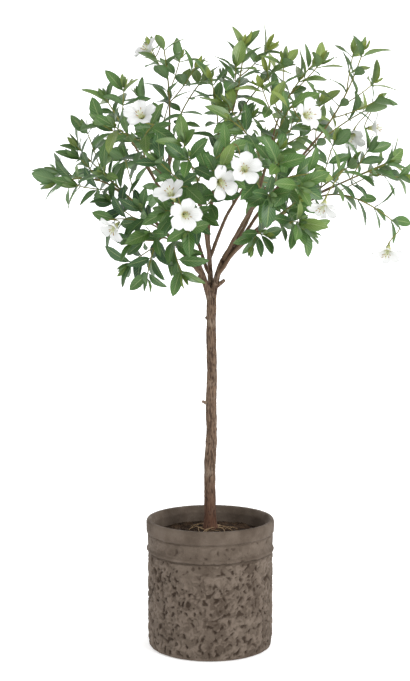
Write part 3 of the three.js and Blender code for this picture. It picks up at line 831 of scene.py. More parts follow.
@dataclass(frozen=True)
class Pose:
    """A place, and the directions ahead, across and over from it."""

    middle: Vector
    ahead: Vector
    across: Vector
    over: Vector

    @classmethod
    def on(cls, curve: Bend, share: float, across: Vector) -> "Pose":
        """The pose at a share of a curve, across as near as it can be to the direction given."""
        ahead = curve.tangent(share)
        over = ahead.cross(across).normalized()
        return cls(curve.point(share), ahead, over.cross(ahead), over)

    @classmethod
    def leaning(cls, foot: Vector, heading: Vector, out: Vector, side: Vector, splay: float) -> "Pose":
        """The pose of something that leans out from its stem's heading by the splay."""
        ahead = heading * math.cos(splay) + out * math.sin(splay)
        return cls(foot, ahead, side, ahead.cross(side))

    def rolled(self, angle: float) -> "Pose":
        """The pose turned about its own length."""
        c, s = math.cos(angle), math.sin(angle)
        return Pose(self.middle, self.ahead, self.across * c + self.over * s, self.over * c - self.across * s)


class Timber:
    """The corners of one CAD node, to tell what was grown there."""

    def __init__(self, node: str) -> None:
        """Reads the node's corners."""
        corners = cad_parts[node].data.vertices
        self.tree = kdtree.KDTree(len(corners))
        for index, corner in enumerate(corners):
            self.tree.insert(corner.co, index)
        self.tree.balance()

    def has(self, place: Vector) -> bool:
        """Whether the node has a corner at a place."""
        return self.tree.find(place)[2] < 0.6 * MM


# ---------------------------------------------------------------- pot and soil


@dataclass
class Pot:
    """The stoneware pot: a smooth lip over a band and a bead, and an eroded body."""

    height: float = 0.304
    rim_radius: float = 0.152
    band_radius: float = 0.1485
    body_radius: float = 0.147
    foot_radius: float = 0.140
    wall: float = 0.011
    floor: float = 0.018
    rim_band: float = 0.031
    lower_band: float = 0.038
    around: int = 480
    step: float = 0.002
    finish: Finish = field(default_factory=Stoneware)

    @property
    def band_top(self) -> float:
        """The height of the groove under the lip's band."""
        return self.height - self.rim_band

    @property
    def bead_top(self) -> float:
        """The height of the bead's upper edge."""
        return self.band_top - self.lower_band

    def outline(self) -> np.ndarray:
        """The pot's profile: radius and height, from under the foot, over the lip, to the floor inside."""
        inside = self.body_radius - self.wall
        outer = [
            (self.foot_radius, 0), (self.foot_radius + 0.005, 0.002), (self.body_radius - 0.0015, 0.009),
            (self.body_radius, 0.024), (self.body_radius, self.bead_top - 0.012),
            (self.body_radius - 0.0038, self.bead_top - 0.0075), (self.band_radius + 0.0024, self.bead_top - 0.004),
            (self.band_radius + 0.0024, self.bead_top), (self.band_radius - 0.001, self.bead_top + 0.004),
            (self.band_radius, self.band_top - 0.005), (self.band_radius - 0.003, self.band_top - 0.002),
            (self.rim_radius - 0.0005, self.band_top + 0.002), (self.rim_radius, self.height - 0.006),
            (self.rim_radius - 0.0025, self.height), (self.rim_radius - self.wall + 0.002, self.height),
            (self.rim_radius - self.wall, self.height - 0.003), (inside, self.height - 0.016),
            (inside, self.height - 0.046),
        ]
        corners = np.array(outer)
        run = np.concatenate([[0], np.cumsum(np.linalg.norm(np.diff(corners, axis=0), axis=1))])
        fine = np.linspace(0, run[-1], int(run[-1] / 0.0005))
        dense = np.stack([np.interp(fine, run, corners[:, i]) for i in (0, 1)], 1)
        for _ in range(3):
            dense[1:-1] = (dense[:-2] + dense[1:-1] * 2 + dense[2:]) / 4
        sampled = dense[:: int(self.step / 0.0005)]
        hidden = [(inside, 0.2), (inside, 0.12), (inside, self.floor + 0.006), (inside - 0.006, self.floor),
                  (0.05, self.floor)]
        return np.vstack([[(0.05, 0.0), (0.1, 0.0)], sampled, hidden])

    def roughness(self, place: Vector) -> float:
        """How deeply a place is eroded, from 0 on the smooth lip to 1 on the body."""
        if math.hypot(place.x, place.y) < self.rim_radius - self.wall + 0.004:
            return 0.12
        body = 1.0 - smooth(place.z, self.bead_top - 0.014, self.bead_top - 0.003)
        band = 0.42 * (1.0 - smooth(place.z, self.band_top - 0.006, self.band_top))
        angle = math.degrees(math.atan2(place.x, -place.y))
        patch = math.exp(-((angle + 19) / 13) ** 2 - ((place.z - 0.207) / 0.02) ** 2)
        foot = smooth(place.z, 0.0, 0.012)
        return max(body * (1 - 0.7 * patch), band, 0.07) * lerp(0.3, 1.0, foot)

    def erosion(self, place: Vector) -> float:
        """The crust's height at a place, about -3 to 1.5 on the body, in millimetres."""
        warp = noise.noise_vector(place * 60) * 0.006
        at = place + warp
        plates = smooth(noise.fractal(at * 52, 0.8, 2.2, 3), -0.1, 0.14)
        pits = smooth(noise.noise(at * 105 + Vector((7, 3, 5))), 0.16, 0.5)
        ridges = 1 - abs(noise.noise(at * 105)) * 2
        return 2.1 * plates + 1.0 * ridges - 3.4 * pits + 0.8 * noise.fractal(at * 260, 0.9, 2.0, 2) - 1.2

    def build(self) -> bpy.types.Object:
        """Builds the pot as one closed body.

        Returns:
            The dressed pot.
        """
        outline = self.outline()
        along = np.gradient(outline, axis=0)
        along /= np.linalg.norm(along, axis=1, keepdims=True)
        corners, relief = [], []
        for (radius, height), (out, rise) in zip(outline, along):
            for k in range(self.around):
                angle = 2 * math.pi * k / self.around
                c, s = math.cos(angle), math.sin(angle)
                place = Vector((radius * c, radius * s, height))
                depth = 0.0
                if 0.0005 < height and (radius > 0.13 and height > 0.25 or out > -0.5 and radius > 0.139):
                    depth = self.erosion(place) * self.roughness(place)
                corners.append(place + Vector((rise * c, rise * s, -out)) * depth * MM)
                relief.append(min(max(0.5 + depth / 4.6, 0.0), 1.0))
        faces: list[tuple[int, ...]] = list(grid_faces(len(outline), self.around, wrapped=True))
        last = (len(outline) - 1) * self.around
        under, inside = len(corners), len(corners) + 1
        corners += [Vector((0, 0, 0)), Vector((0, 0, self.floor))]
        relief += [0.5, 0.5]
        for k in range(self.around):
            following = (k + 1) % self.around
            faces += [(under, following, k), (inside, last + k, last + following)]
        made = mesh_object("stoneware_pot", corners, faces, self.finish, {"relief": relief})
        return present(made, Slot.STONEWARE, "pot")


def crumb_parts() -> bpy.types.Collection:
    """A few crumbs of soil of unit size, to scatter."""
    parts = bpy.data.collections.new("crumb_parts")
    for index in range(4):
        angles = [(math.acos(1 - 2 * (i + 0.5) / 12), i * 2.39996) for i in range(12)]
        corners = [
            Vector((math.sin(a) * math.cos(b), math.sin(a) * math.sin(b), math.cos(a) * 0.7))
            * (0.7 + 0.6 * scatter(index * 31 + i)) * 0.5
            for i, (a, b) in enumerate(angles)
        ]
        mesh = bpy.data.meshes.new(f"crumb_{index}")
        mesh.from_pydata([tuple(corner) for corner in corners], [], [])
        hull = bmesh_hull(mesh)
        parts.objects.link(bpy.data.objects.new(f"crumb_{index}", hull))
    return parts


def bmesh_hull(mesh: bpy.types.Mesh) -> bpy.types.Mesh:
    """The mesh of corners, wrapped in its convex hull."""
    import bmesh
    work = bmesh.new()
    work.from_mesh(mesh)
    bmesh.ops.convex_hull(work, input=work.verts)
    loose = [corner for corner in work.verts if not corner.link_faces]
    bmesh.ops.delete(work, geom=loose, context="VERTS")
    bmesh.ops.recalc_face_normals(work, faces=work.faces)
    work.to_mesh(mesh)
    work.free()
    return mesh


@dataclass
class SoilBed:
    """Crumbly soil, mounded a little round the trunk, with dry fibres lying on it."""

    radius: float = 0.1357
    bed: float = 0.0183
    level: float = 0.268
    mound: float = 0.012
    around: int = 160
    rings: int = 60
    crumbs: float = 42000.0
    finish: Finish = field(default_factory=Compost)
    fibre: Finish = field(default_factory=Fibre)

    def surface(self, x: float, y: float) -> float:
        """The height of the soil at a place."""
        out = math.hypot(x, y)
        mound = self.mound * (1 - 0.6 * smooth(out, 0.02, 0.065)) * (1 - smooth(out, 0.05, 0.125))
        lumps = noise.fractal(Vector((x, y, 0.3)) * 55, 0.8, 2.1, 4) * 0.0035
        return self.level + mound + lumps * (1 - 0.5 * smooth(out, 0.12, 0.135)) - 0.003 * smooth(out, 0.118, 0.135)

    def top(self) -> list[list[Vector]]:
        """Rings of corners over the top, from the wall inwards."""
        rows = []
        for i in range(self.rings):
            radius = self.radius * (1 - i / self.rings)
            turns = [2 * math.pi * k / self.around for k in range(self.around)]
            rows.append([Vector((radius * math.cos(a), radius * math.sin(a),
                                 self.surface(radius * math.cos(a), radius * math.sin(a)))) for a in turns])
        return rows

    def build(self, recipe: Recipe, stems: Recipe) -> None:
        """Builds the bed, its crumbs and its fibres.

        Args:
            recipe: the crumbs' recipe.
            stems: the recipe that sweeps the fibres.
        """
        rows = self.top()
        turns = [2 * math.pi * k / self.around for k in range(self.around)]
        foot = [[Vector((r * math.cos(a), r * math.sin(a), z)) for a in turns]
                for r, z in ((self.radius - 0.006, self.bed), (self.radius, self.bed + 0.006))]
        corners = [corner for row in foot + rows for corner in row]
        faces: list[tuple[int, ...]] = list(grid_faces(len(rows) + 2, self.around, wrapped=True))
        last = (len(rows) + 1) * self.around
        corners += [Vector((0, 0, self.bed)), Vector((0, 0, self.surface(0, 0)))]
        for k in range(self.around):
            following = (k + 1) % self.around
            faces += [(len(corners) - 2, following, k), (len(corners) - 1, last + k, last + following)]
        present(mesh_object("soil_bed", corners, faces, self.finish), Slot.SOIL, "soil")
        shown = [corner for row in rows[2:] for corner in row]
        source = mesh_object("crumb_bed", shown, grid_faces(len(rows) - 2, self.around, wrapped=True))
        made = recipe.make(source, "soil_crumbs", {
            "Parts": crumb_parts(), "Density": self.crumbs, "Smallest": 0.0018, "Largest": 0.0055, "Seed": 7,
            "Material": self.finish.material()})
        present(made, Slot.SOIL)
        self.fibres(stems)

    def fibres(self, stems: Recipe) -> None:
        """Lays dry fibres round the foot of the trunk."""
        lines = Lines()
        for index in range(16):
            angle = scatter(index + 0.2) * 2 * math.pi
            reach = 0.022 + 0.035 * scatter(index + 0.4)
            curl = (scatter(index + 0.6) - 0.5) * 3.0
            places = []
            for i in range(9):
                share = i / 8
                out = 0.013 + reach * share
                x, y = out * math.cos(angle + curl * share), out * math.sin(angle + curl * share)
                arch = 0.006 * math.sin(math.pi * share) * scatter(index + 0.8) + 0.0012
                places.append(Vector((x, y, self.surface(x, y) + arch)))
            lines.add(places, [0.0011 - 0.0007 * i / 8 for i in range(9)], [i / 8 for i in range(9)])
        present(lines.sweep(stems, "soil_fibres", self.fibre, sides=5), Slot.SOIL)


# ---------------------------------------------------------------- wood


@dataclass(frozen=True)
class Limb:
    """One of the three limbs that the trunk forks into."""

    line: Bend
    radii: tuple[float, float]

    @classmethod
    def of(cls, start: Point, towards: Point, end: Point, radii: tuple[float, float]) -> "Limb":
        """A limb from places and radii in millimetres."""
        return cls(Bend((metres(start), metres(towards), metres(end))), (radii[0] * MM, radii[1] * MM))


LIMBS = {
    "left": Limb.of((1, 0, 815), (-16, -6, 895), (-52, -4, 946), (8.5, 6)),
    "right": Limb.of((5, 2, 818), (14, 8, 905), (52, 10, 950), (8.5, 6)),
    "rear": Limb.of((3, 4, 822), (0, 24, 885), (-4, 36, 950), (7.5, 5.5)),
}


@dataclass
class Trunk:
    """The trunk with its limbs, pruned stubs and roots: one piece of wood."""

    foot_radius: float = 0.0145
    fork_radius: float = 0.0115
    root_base: float = 0.0065
    root_tip: float = 0.0025
    root_reach: float = 0.085
    root_drop: float = 0.070
    soil_level: float = 0.268
    voxel: float = 0.0013
    finish: Finish = field(default_factory=Bark)
    line: tuple[Point, ...] = (
        (0, 0, 148), (0, 0, 280), (-1, 1, 420), (3, -2, 500), (2, 2, 580), (4, 0, 650), (2, -2, 740), (3, 0, 828),
    )
    # Cut ends of pruned side shoots: the start, the direction, the length and the radius of each.
    stubs: tuple[tuple[Point, Point, float, float], ...] = (
        ((1, 0, 574), (-0.85, -0.25, 0.45), 24, 4), ((0, 0, 515), (0.95, -0.2, 0.25), 17, 5),
        ((2, -1, 776), (-0.9, 0.3, 0.35), 16, 3.5), ((11, 5, 852), (0.75, -0.25, 0.6), 30, 5.5),
        ((-8, -3, 860), (-0.68, -0.2, 0.7), 30, 4), ((3, 0, 700), (0.2, 0.95, 0.3), 18, 4),
    )

    def bole(self, share: float) -> Vector:
        """The trunk's middle line, smooth through its points."""
        points = [metres(p) for p in self.line]
        points = [points[0] * 2 - points[1]] + points + [points[-1] * 2 - points[-2]]
        at = min(share, 0.99999) * (len(points) - 3)
        i, t = int(at), at - int(at)
        a, b, c, d = points[i:i + 4]
        return (b * 2 + (c - a) * t + (a * 2 - b * 5 + c * 4 - d) * t ** 2 + (b * 3 - a - c * 3 + d) * t ** 3) * 0.5

    def tubes(self) -> Iterable[tuple[Callable[[float], Vector], float, float, int]]:
        """Each stem's middle line, its radii and how many rings it needs."""
        yield self.bole, self.foot_radius, self.fork_radius, 150
        for limb in LIMBS.values():
            yield limb.line.point, limb.radii[0], limb.radii[1], 36
        for at, towards, length, radius in self.stubs:
            start = metres(at)
            end = start + Vector(towards).normalized() * length * MM
            yield Bend((start, end)).point, radius * MM, radius * MM * 0.86, 12
        for i in range(5):
            angle = i / 5 * 2 * math.pi + 0.4
            out = Vector((math.cos(angle), math.sin(angle), 0)) * self.root_reach
            crown = Vector((0, 0, self.soil_level - 0.002))
            shoulder = (crown + out * 0.5) + UP * -0.004
            end = crown + out + UP * (0.002 - self.root_drop)
            yield Bend((crown, shoulder, end)).point, self.root_base, self.root_tip, 24

    def rough_mesh(self) -> bpy.types.Object:
        """The stems, not yet joined."""
        corners, faces, sides = [], [], 24
        for line, base, tip, steps in self.tubes():
            first = len(corners)
            places = [line(i / steps) for i in range(steps + 1)]
            for i, place in enumerate(places):
                share = i / steps
                ahead = (places[min(i + 1, steps)] - places[max(i - 1, 0)]).normalized()
                side = ahead.cross(Vector((0.3, 0.9, 0.1)) if abs(ahead.y) < 0.8 else Vector((1, 0, 0.1))).normalized()
                over = ahead.cross(side)
                swell = 1 + 0.1 * noise.noise(place * 28) + 0.5 * math.exp(-((place.z - 0.268) / 0.022) ** 2) * (base > 0.012)
                for k in range(sides):
                    angle = 2 * math.pi * k / sides
                    out = side * math.cos(angle) + over * math.sin(angle)
                    corners.append(place + out * lerp(base, tip, share) * swell)
            faces += [tuple(first + c for c in face) for face in grid_faces(steps + 1, sides, wrapped=True)]
            faces.append(tuple(first + k for k in reversed(range(sides))))
            faces.append(tuple(first + steps * sides + k for k in range(sides)))
        return mesh_object("rough_wood", corners, faces)

    def build(self) -> bpy.types.Object:
        """Builds the wood as one skin, with bark raised on it.

        Returns:
            The dressed trunk.
        """
        rough = self.rough_mesh()
        joiner = rough.modifiers.new("join", "REMESH")
        joiner.mode, joiner.voxel_size = "VOXEL", self.voxel
        easing = rough.modifiers.new("ease", "SMOOTH")
        easing.factor, easing.iterations = 0.5, 4
        depsgraph = bpy.context.evaluated_depsgraph_get()
        mesh = bpy.data.meshes.new_from_object(rough.evaluated_get(depsgraph), depsgraph=depsgraph)
        bpy.data.objects.remove(rough)
        places, relief = [], []
        for corner in mesh.vertices:
            at = corner.co
            flakes = noise.fractal(Vector((at.x * 260, at.y * 260, at.z * 55)), 0.8, 2.1, 3)
            cracks = 1 - min(abs(noise.noise(Vector((at.x * 190, at.y * 190, at.z * 38)) + Vector((4, 9, 2)))) * 6, 1)
            rings = noise.noise(Vector((at.x * 30, at.y * 30, at.z * 210)))
            height = 0.55 * flakes - 0.6 * cracks + 0.2 * rings
            places.append(at + corner.normal * height * MM)
            relief.append(min(max(0.5 + height * 0.6, 0.0), 1.0))
        faces = [tuple(face.vertices) for face in mesh.polygons]
        made = mesh_object("azalea_trunk", places, faces, self.finish, {"relief": relief})
        return present(made, Slot.BARK, "trunk")


@dataclass(frozen=True)
class StemNode:
    """A node of a stem: its share of the way up, and how many twigs and leaves it carries."""

    share: float
    twigs: int
    leaves: int


@dataclass(frozen=True)
class StemKind:
    """How a stem tapers, and what it carries."""

    base: float
    tip: float
    node: float
    turn: float
    nodes: tuple[StemNode, ...]


SHOOT = StemKind(0.0028, 0.0016, 0.0032, 1.1, (
    StemNode(0.28, 1, 1), StemNode(0.42, 1, 2), StemNode(0.58, 1, 2), StemNode(0.76, 0, 3), StemNode(0.94, 0, 3)))
TWIG = StemKind(0.0018, 0.0014, 0.0028, 1.1, (StemNode(0.5, 0, 3), StemNode(0.9, 0, 3)))


def beside(parent: Bend, share: float, parent_radius: float, radius: float, target: Vector) -> Vector:
    """Where a side stem starts: just clear of its parent, on the side that it grows towards."""
    start, heading = parent.point(share), parent.tangent(share)
    if share == 1:
        return start + heading * 0.3 * MM
    side = target - start
    side = (side - heading * side.dot(heading)).normalized()
    return start + side * (parent_radius + radius + 0.3 * MM)


@dataclass
class Branch:
    """A branch: the limb it leaves, the share of the way up it, its end, and the tips of its shoots."""

    limb: str
    share: float
    end: Point
    tips: tuple[Point, ...]
    base: float = 0.0045
    tip: float = 0.003

    def line(self) -> Bend:
        """The branch's middle line: along its limb, then out to its end."""
        limb = LIMBS[self.limb]
        target = metres(self.end)
        radius = lerp(*limb.radii, self.share)
        start = beside(limb.line, self.share, radius, self.base, target)
        reach = (target - start).length
        ahead = start + limb.line.tangent(self.share) * reach * 0.3
        if self.share == 1:
            return Bend((start, ahead, target))
        middle = start.lerp(target, 0.5) + UP * reach * 0.1
        return Bend((start, ahead.lerp(middle, 0.6), target))

    def shoots(self) -> list[tuple[float, Bend]]:
        """Where along the branch each shoot starts, and its middle line."""
        line = self.line()
        found = []
        for order, tip in enumerate(self.tips):
            share = 1 - 0.2 * order
            target = metres(tip)
            start = beside(line, share, lerp(self.base, self.tip, share), SHOOT.base, target)
            reach = (target - start).length
            found.append((share, Bend((start, start + line.tangent(share) * reach * 0.45, target))))
        return found


BRANCHES = (
    Branch("left", 1, (-95, 10, 1235), ((-108, -8, 1408), (-20, 60, 1335), (-160, 40, 1295))),
    Branch("left", 0.8, (-165, -60, 1165), ((-236, -60, 1282), (-125, -210, 1215))),
    Branch("left", 0.66, (-225, 10, 1085), ((-360, 6, 1096), (-312, 50, 1180), (-240, -134, 1116))),
    Branch("left", 0.58, (-110, -60, 985), ((-222, -110, 1012), (-144, -98, 880), (-66, -90, 890))),
    Branch("rear", 1, (50, 5, 1255), ((78, -12, 1408), (162, 40, 1368), (2, -74, 1326))),
    Branch("right", 1, (145, -30, 1205), ((232, -20, 1362), (175, -176, 1258), (40, -190, 1230))),
    Branch("right", 0.9, (250, 30, 1200), ((352, 0, 1398), (372, 70, 1270))),
    Branch("right", 0.78, (290, -40, 1090), ((415, -20, 1145), (425, -70, 1000), (290, -150, 1120))),
    Branch("right", 0.55, (118, -55, 1000), ((215, -100, 985), (96, -80, 952))),
    Branch("rear", 0.78, (-30, -160, 1075), ((40, -285, 1165), (-70, -285, 1085), (-50, -215, 985))),
    Branch("right", 0.82, (115, -180, 1075), ((215, -275, 1110), (125, -300, 1060))),
    Branch("rear", 0.6, (-110, 150, 1110), ((-240, 190, 1165), (-120, 265, 1060))),
    Branch("rear", 0.9, (115, 145, 1130), ((262, 175, 1235), (125, 270, 1070), (30, 190, 1275))),
)


def knobbly(radius: float, place: Vector) -> float:
    """A stem's radius with the small swellings that it has at a place."""
    return radius * (1 + 0.16 * noise.noise(place * 90))


def wander(place: Vector, amount: float) -> Vector:
    """A place moved a little off a stem's smooth line."""
    return place + noise.noise_vector(place * 22) * amount


# ---------------------------------------------------------------- leaves


@dataclass(frozen=True)
class LeafShape:
    """One way for a leaf to curl: how it droops, folds, twists and waves."""

    droop: float
    fold: float
    twist: float
    wave: float


@dataclass
class LeafParts:
    """Leaves of unit length and width, to be set on the stems."""

    shapes: tuple[LeafShape, ...] = (
        LeafShape(0.13, 0.10, 0.05, 0.010), LeafShape(0.20, 0.14, -0.18, 0.016), LeafShape(0.16, 0.05, 0.2, 0.022),
        LeafShape(0.24, 0.09, -0.06, 0.014), LeafShape(0.07, 0.17, 0.12, 0.012), LeafShape(0.30, 0.06, 0.3, 0.02),
    )
    stations: tuple[float, ...] = (0.0, 0.09, 0.2, 0.36, 0.54, 0.72, 0.88, 1.0)
    petiole: float = 0.09

    def half_width(self, share: float) -> float:
        """Half the leaf's width at a share of its length."""
        if share <= self.petiole:
            return 0.045
        on = (share - self.petiole) / (1 - self.petiole)
        return max(0.5 * math.sin(math.pi * on ** 0.92) ** 0.68, 0.045 if share < 0.5 else 0.012)

    def sheet(self, shape: LeafShape) -> tuple[np.ndarray, np.ndarray, list[tuple[float, float]]]:
        """The leaf's upper side, how deep it is under each corner, and its flat map."""
        rows, depths, flat = [], [], []
        for share in self.stations:
            half = self.half_width(share)
            row, depth = [], []
            for across in (-1.0, -0.5, 0.0, 0.5, 1.0):
                y = half * across
                lift = shape.fold * abs(across) * half * 0.5 / 0.5
                wave = shape.wave * math.sin(share * 9 + across * 2) * abs(across)
                twist = shape.twist * share * y * 0.42
                row.append((share, y, lift + wave + twist - shape.droop * share * share))
                depth.append(0.0 if abs(across) == 1 or share in (0.0, 1.0) else 0.03 if share <= self.petiole else 0.008)
                flat.append((share, 0.5 + across * 0.5))
            rows.append(row)
            depths.append(depth)
        return np.array(rows), np.array(depths), flat

    def build(self) -> bpy.types.Collection:
        """Builds the leaves in a collection of their own."""
        parts = bpy.data.collections.new("leaf_parts")
        for index, shape in enumerate(self.shapes):
            sheet, depth, flat = self.sheet(shape)
            parts.objects.link(part_of(f"leaf_part_{index}", sheet, depth, flat))
        return parts


def part_of(name: str, sheet: np.ndarray, depth: np.ndarray, flat: list[tuple[float, float]]) -> bpy.types.Object:
    """A thin closed part on a sheet, outside the scene, with crisp edges and a flat map on both its sides."""
    corners, faces, below = shell(sheet, depth)
    lower = [place for place, deep in zip(flat, depth.ravel()) if deep > 0]
    made = mesh_object(name, corners, faces, values={"under": below}, blade=flat + lower)
    made.data.set_sharp_from_angle(angle=math.radians(70))
    bpy.context.scene.collection.objects.unlink(made)
    return made


@dataclass
class Crown:
    """All that grows on one branch: its wood, its shoots and twigs, and their leaves."""

    number: int
    first_shoot: int
    branch: Branch
    flowering: tuple[int, ...]
    stems: Recipe
    growth: Recipe
    parts: bpy.types.Collection
    leaf_length: float = 0.066
    leaf_width: float = 0.028
    head: Vector = field(default_factory=lambda: metres((0, 80, 1020)))
    wood: Lines = field(default_factory=Lines)
    green: Lines = field(default_factory=Lines)
    leaves: Settings = field(default_factory=Settings)

    def build(self) -> None:
        """Builds the branch, its shoots' stems and their leaves, as three pieces."""
        line = self.branch.line()
        limb = LIMBS[self.branch.limb].line
        joint = limb.point(max(self.branch.share - 0.14, 0.0) if self.branch.share < 1 else 0.93)
        places = [joint] + [line.point(i / 26) for i in range(27)]
        girths = [self.branch.base * 1.1] + [lerp(self.branch.base, self.branch.tip, i / 26) for i in range(27)]
        ages = [0.0] + [0.4 * i / 26 for i in range(27)]
        moved = [wander(place, 0.0016 * min(i / 4, (27 - i) / 4, 1)) for i, place in enumerate(places)]
        self.wood.add(moved, [knobbly(girth, place) for girth, place in zip(girths, places)], ages)
        label = f"{self.number:02d}"
        made = self.wood.sweep(self.stems, f"branch_wood_{label}", GreenWood(), sides=12)
        present(made, Slot.BARK, f"branch_{label}")
        nodes = []
        for order, (share, shoot) in enumerate(self.branch.shoots()):
            index = self.first_shoot + order
            nodes.append(f"shoot_{index + 1:02d}")
            timber = Timber(nodes[-1])
            back = line.point(max(share - 0.05, 0.0) if share < 1 else 0.985)
            self.stem(shoot, SHOOT, back, 0.35, 22)
            self.grow(shoot, shoot.side(), SHOOT, index * 101, timber)
            if order + 1 not in self.flowering:
                self.tuft(shoot, SHOOT, index + 0.7)
        green = self.green.sweep(self.stems, f"shoot_stems_{label}", GreenWood(), sides=7)
        present(green, Slot.BARK, *nodes)
        leaves = self.leaves.set_out(self.growth, f"leaves_{label}", Foliage(), self.parts)
        present(leaves, Slot.LEAF, *nodes)

    def stem(self, line: Bend, kind: StemKind, back: Vector, youth: float, steps: int) -> None:
        """Adds a stem's line, from inside its parent to its tip."""
        places = [back] + [line.point(i / steps) for i in range(steps + 1)]
        places.append(places[-1] + line.tangent(1) * 0.003)
        total = len(places) - 1
        girths = [lerp(kind.base, kind.tip, i / total) * 0.86 for i in range(total)] + [kind.tip * 0.35]
        ages = [youth + (1 - youth) * i / total for i in range(total + 1)]
        self.green.add(places, [knobbly(girth, place) for girth, place in zip(girths, places)], ages)

    @staticmethod
    def ring(line: Bend, across: Vector, kind: StemKind, share: float, turn: float) -> list[Vector]:
        """The three corners of a stem's section at a node."""
        pose = Pose.on(line, share, across).rolled(turn)
        radius = lerp(kind.base, kind.tip, share)
        return [pose.middle + pose.across * math.cos(a) * radius + pose.over * math.sin(a) * radius
                for a in map(math.radians, (-90, 30, 150))]

    def grow(self, line: Bend, across: Vector, kind: StemKind, seed: float, timber: Timber) -> None:
        """Grows the twigs and leaves of a stem wherever the framework has them."""
        length = line.length()
        for order, node in enumerate(kind.nodes):
            turn = kind.turn * (order + 1)
            low = self.ring(line, across, kind, node.share, turn)
            high = self.ring(line, across, kind, node.share + kind.node / length, turn)
            for k in range(node.twigs + node.leaves):
                a, b, c, d = low[k], low[(k + 1) % 3], high[(k + 1) % 3], high[k]
                heading = (d - a + c - b).normalized()
                side = (b - a + c - d).normalized()
                out = side.cross(heading).normalized()
                foot = (a + b + c + d) / 4
                number = seed + order * 3 + k
                if k < node.twigs:
                    self.twig(foot, heading, out, side, length, number, timber)
                else:
                    self.leaf(foot, heading, out, side, node.share, number, timber)

    def twig(self, foot: Vector, heading: Vector, out: Vector, side: Vector, length: float, seed: float,
             timber: Timber) -> None:
        """Grows a side twig: it leans out from its shoot, then turns to follow it."""
        pose = Pose.leaning(foot, heading, out, side, 0.8)
        reach = min(length * 0.55, 0.110)
        elbow = foot + pose.ahead * reach * 0.5
        on = (pose.ahead + heading * 0.35 + UP * 0.15).normalized()
        line = Bend((foot, elbow, elbow + on * reach * 0.5))
        if not timber.has(line.point(1) + line.tangent(1) * 0.003):
            return
        self.stem(line, TWIG, foot - pose.ahead * 0.003, 0.6, 9)
        self.grow(line, side, TWIG, seed * 7.3, timber)
        self.tuft(line, TWIG, seed + 0.3)

    def rolled_to_light(self, pose: Pose) -> Pose:
        """A leaf's pose, rolled to lay its face outwards from the head."""
        light = (pose.middle - self.head).normalized() + UP * 0.1
        light -= pose.ahead * light.dot(pose.ahead)
        angle = math.atan2(-light.dot(pose.across), light.dot(pose.over))
        return pose.rolled(min(max(angle, -1.3), 1.3))

    def leaf(self, foot: Vector, heading: Vector, out: Vector, side: Vector, share: float, seed: float,
             timber: Timber) -> None:
        """Sets a leaf where the framework has one."""
        splay = lerp(1.2, 0.75, share) + (scatter(seed) - 0.5) * 0.5
        pose = self.rolled_to_light(Pose.leaning(foot, heading, out, side, splay))
        size = 0.78 + 0.34 * scatter(seed + 0.5)
        length, width = self.leaf_length * size, self.leaf_width * size
        if not timber.has(foot + pose.ahead * length - pose.over * 0.16 * length):
            return
        self.set_leaf(pose, length, width, seed, 0.12 + 0.22 * share)

    def set_leaf(self, pose: Pose, length: float, width: float, seed: float, youth: float) -> None:
        """Sets a leaf of its own kind and tint: its age, a random tone, and painted light that makes leaves high in
        the head and on the right yellower.
        """
        back = Pose(pose.middle - pose.ahead * 0.0016, pose.ahead, pose.across, pose.over)
        # painted light: leaves high in the head and on the right, towards the key light, are tinted yellower
        high = smooth(pose.middle.z, 0.95, 1.4)
        right = smooth(pose.middle.x, -0.2, 0.3)
        tone = noise.noise(pose.middle * 9)
        tint = youth + 0.2 * high + 0.1 * right + 0.22 * tone + 0.34 * (scatter(seed + 0.9) - 0.4)
        kind = int(scatter(seed + 0.25) * 5.999)
        self.leaves.add(back, (length + 0.0016, width * lerp(0.85, 1.08, scatter(seed + 0.35)), length), kind,
                        min(max(tint, 0.0), 1.0))

    def tuft(self, line: Bend, kind: StemKind, seed: float) -> None:
        """Sets a few young leaves round the tip of a stem."""
        pose = Pose.on(line, 1, line.side())
        for k in range(4):
            turned = pose.rolled(k * 2.4 + seed)
            splay = 0.35 + 0.3 * scatter(seed + k)
            foot = pose.middle + pose.ahead * (0.0006 * k)
            small = Pose.leaning(foot, pose.ahead, turned.over, turned.across, splay)
            size = lerp(0.34, 0.62, scatter(seed + k * 1.7))
            self.set_leaf(small, self.leaf_length * size, self.leaf_width * size * 0.85, seed * 3.1 + k, 0.5)


# ---------------------------------------------------------------- flowers


@dataclass(frozen=True)
class Bloom:
    """One flower: the middle of its throat, and the way it looks."""

    at: Point
    facing: Point


@dataclass(frozen=True)
class Truss:
    """The flowers at the tip of a shoot: tip counts the shoots of a branch from 1, its last one first."""

    branch: int
    tip: int
    blooms: tuple[Bloom, ...]


TRUSSES = (
    Truss(1, 1, (Bloom((-146, 30, 1404), (-0.55, -0.35, 0.7)),)),
    Truss(2, 2, (Bloom((-148, -262, 1232), (-0.2, -0.8, 0.5)),)),
    Truss(4, 1, (Bloom((-216, -150, 992), (-0.55, -0.5, -0.6)),)),
    Truss(6, 2, (Bloom((206, -226, 1236), (0.5, -0.7, 0.2)),)),
    Truss(7, 2, (Bloom((334, 46, 1206), (-0.25, -0.6, -0.75)), Bloom((394, 108, 1230), (0.8, -0.3, 0.1)))),
    Truss(8, 2, (Bloom((402, -96, 938), (-0.15, -0.5, -0.85)),)),
    Truss(8, 3, (Bloom((246, -190, 1040), (-0.3, -0.45, -0.85)),)),
    Truss(10, 1, (Bloom((70, -345, 1118), (0.15, -0.95, 0.2)), Bloom((22, -340, 1090), (0.45, -0.85, -0.15)))),
    Truss(10, 2, (Bloom((-84, -322, 1066), (-0.35, -0.6, 0.7)), Bloom((-54, -326, 1022), (0.1, -0.95, -0.1)))),
    Truss(13, 2, (Bloom((122, 335, 1092), (0.2, 0.9, 0.3)),)),
)


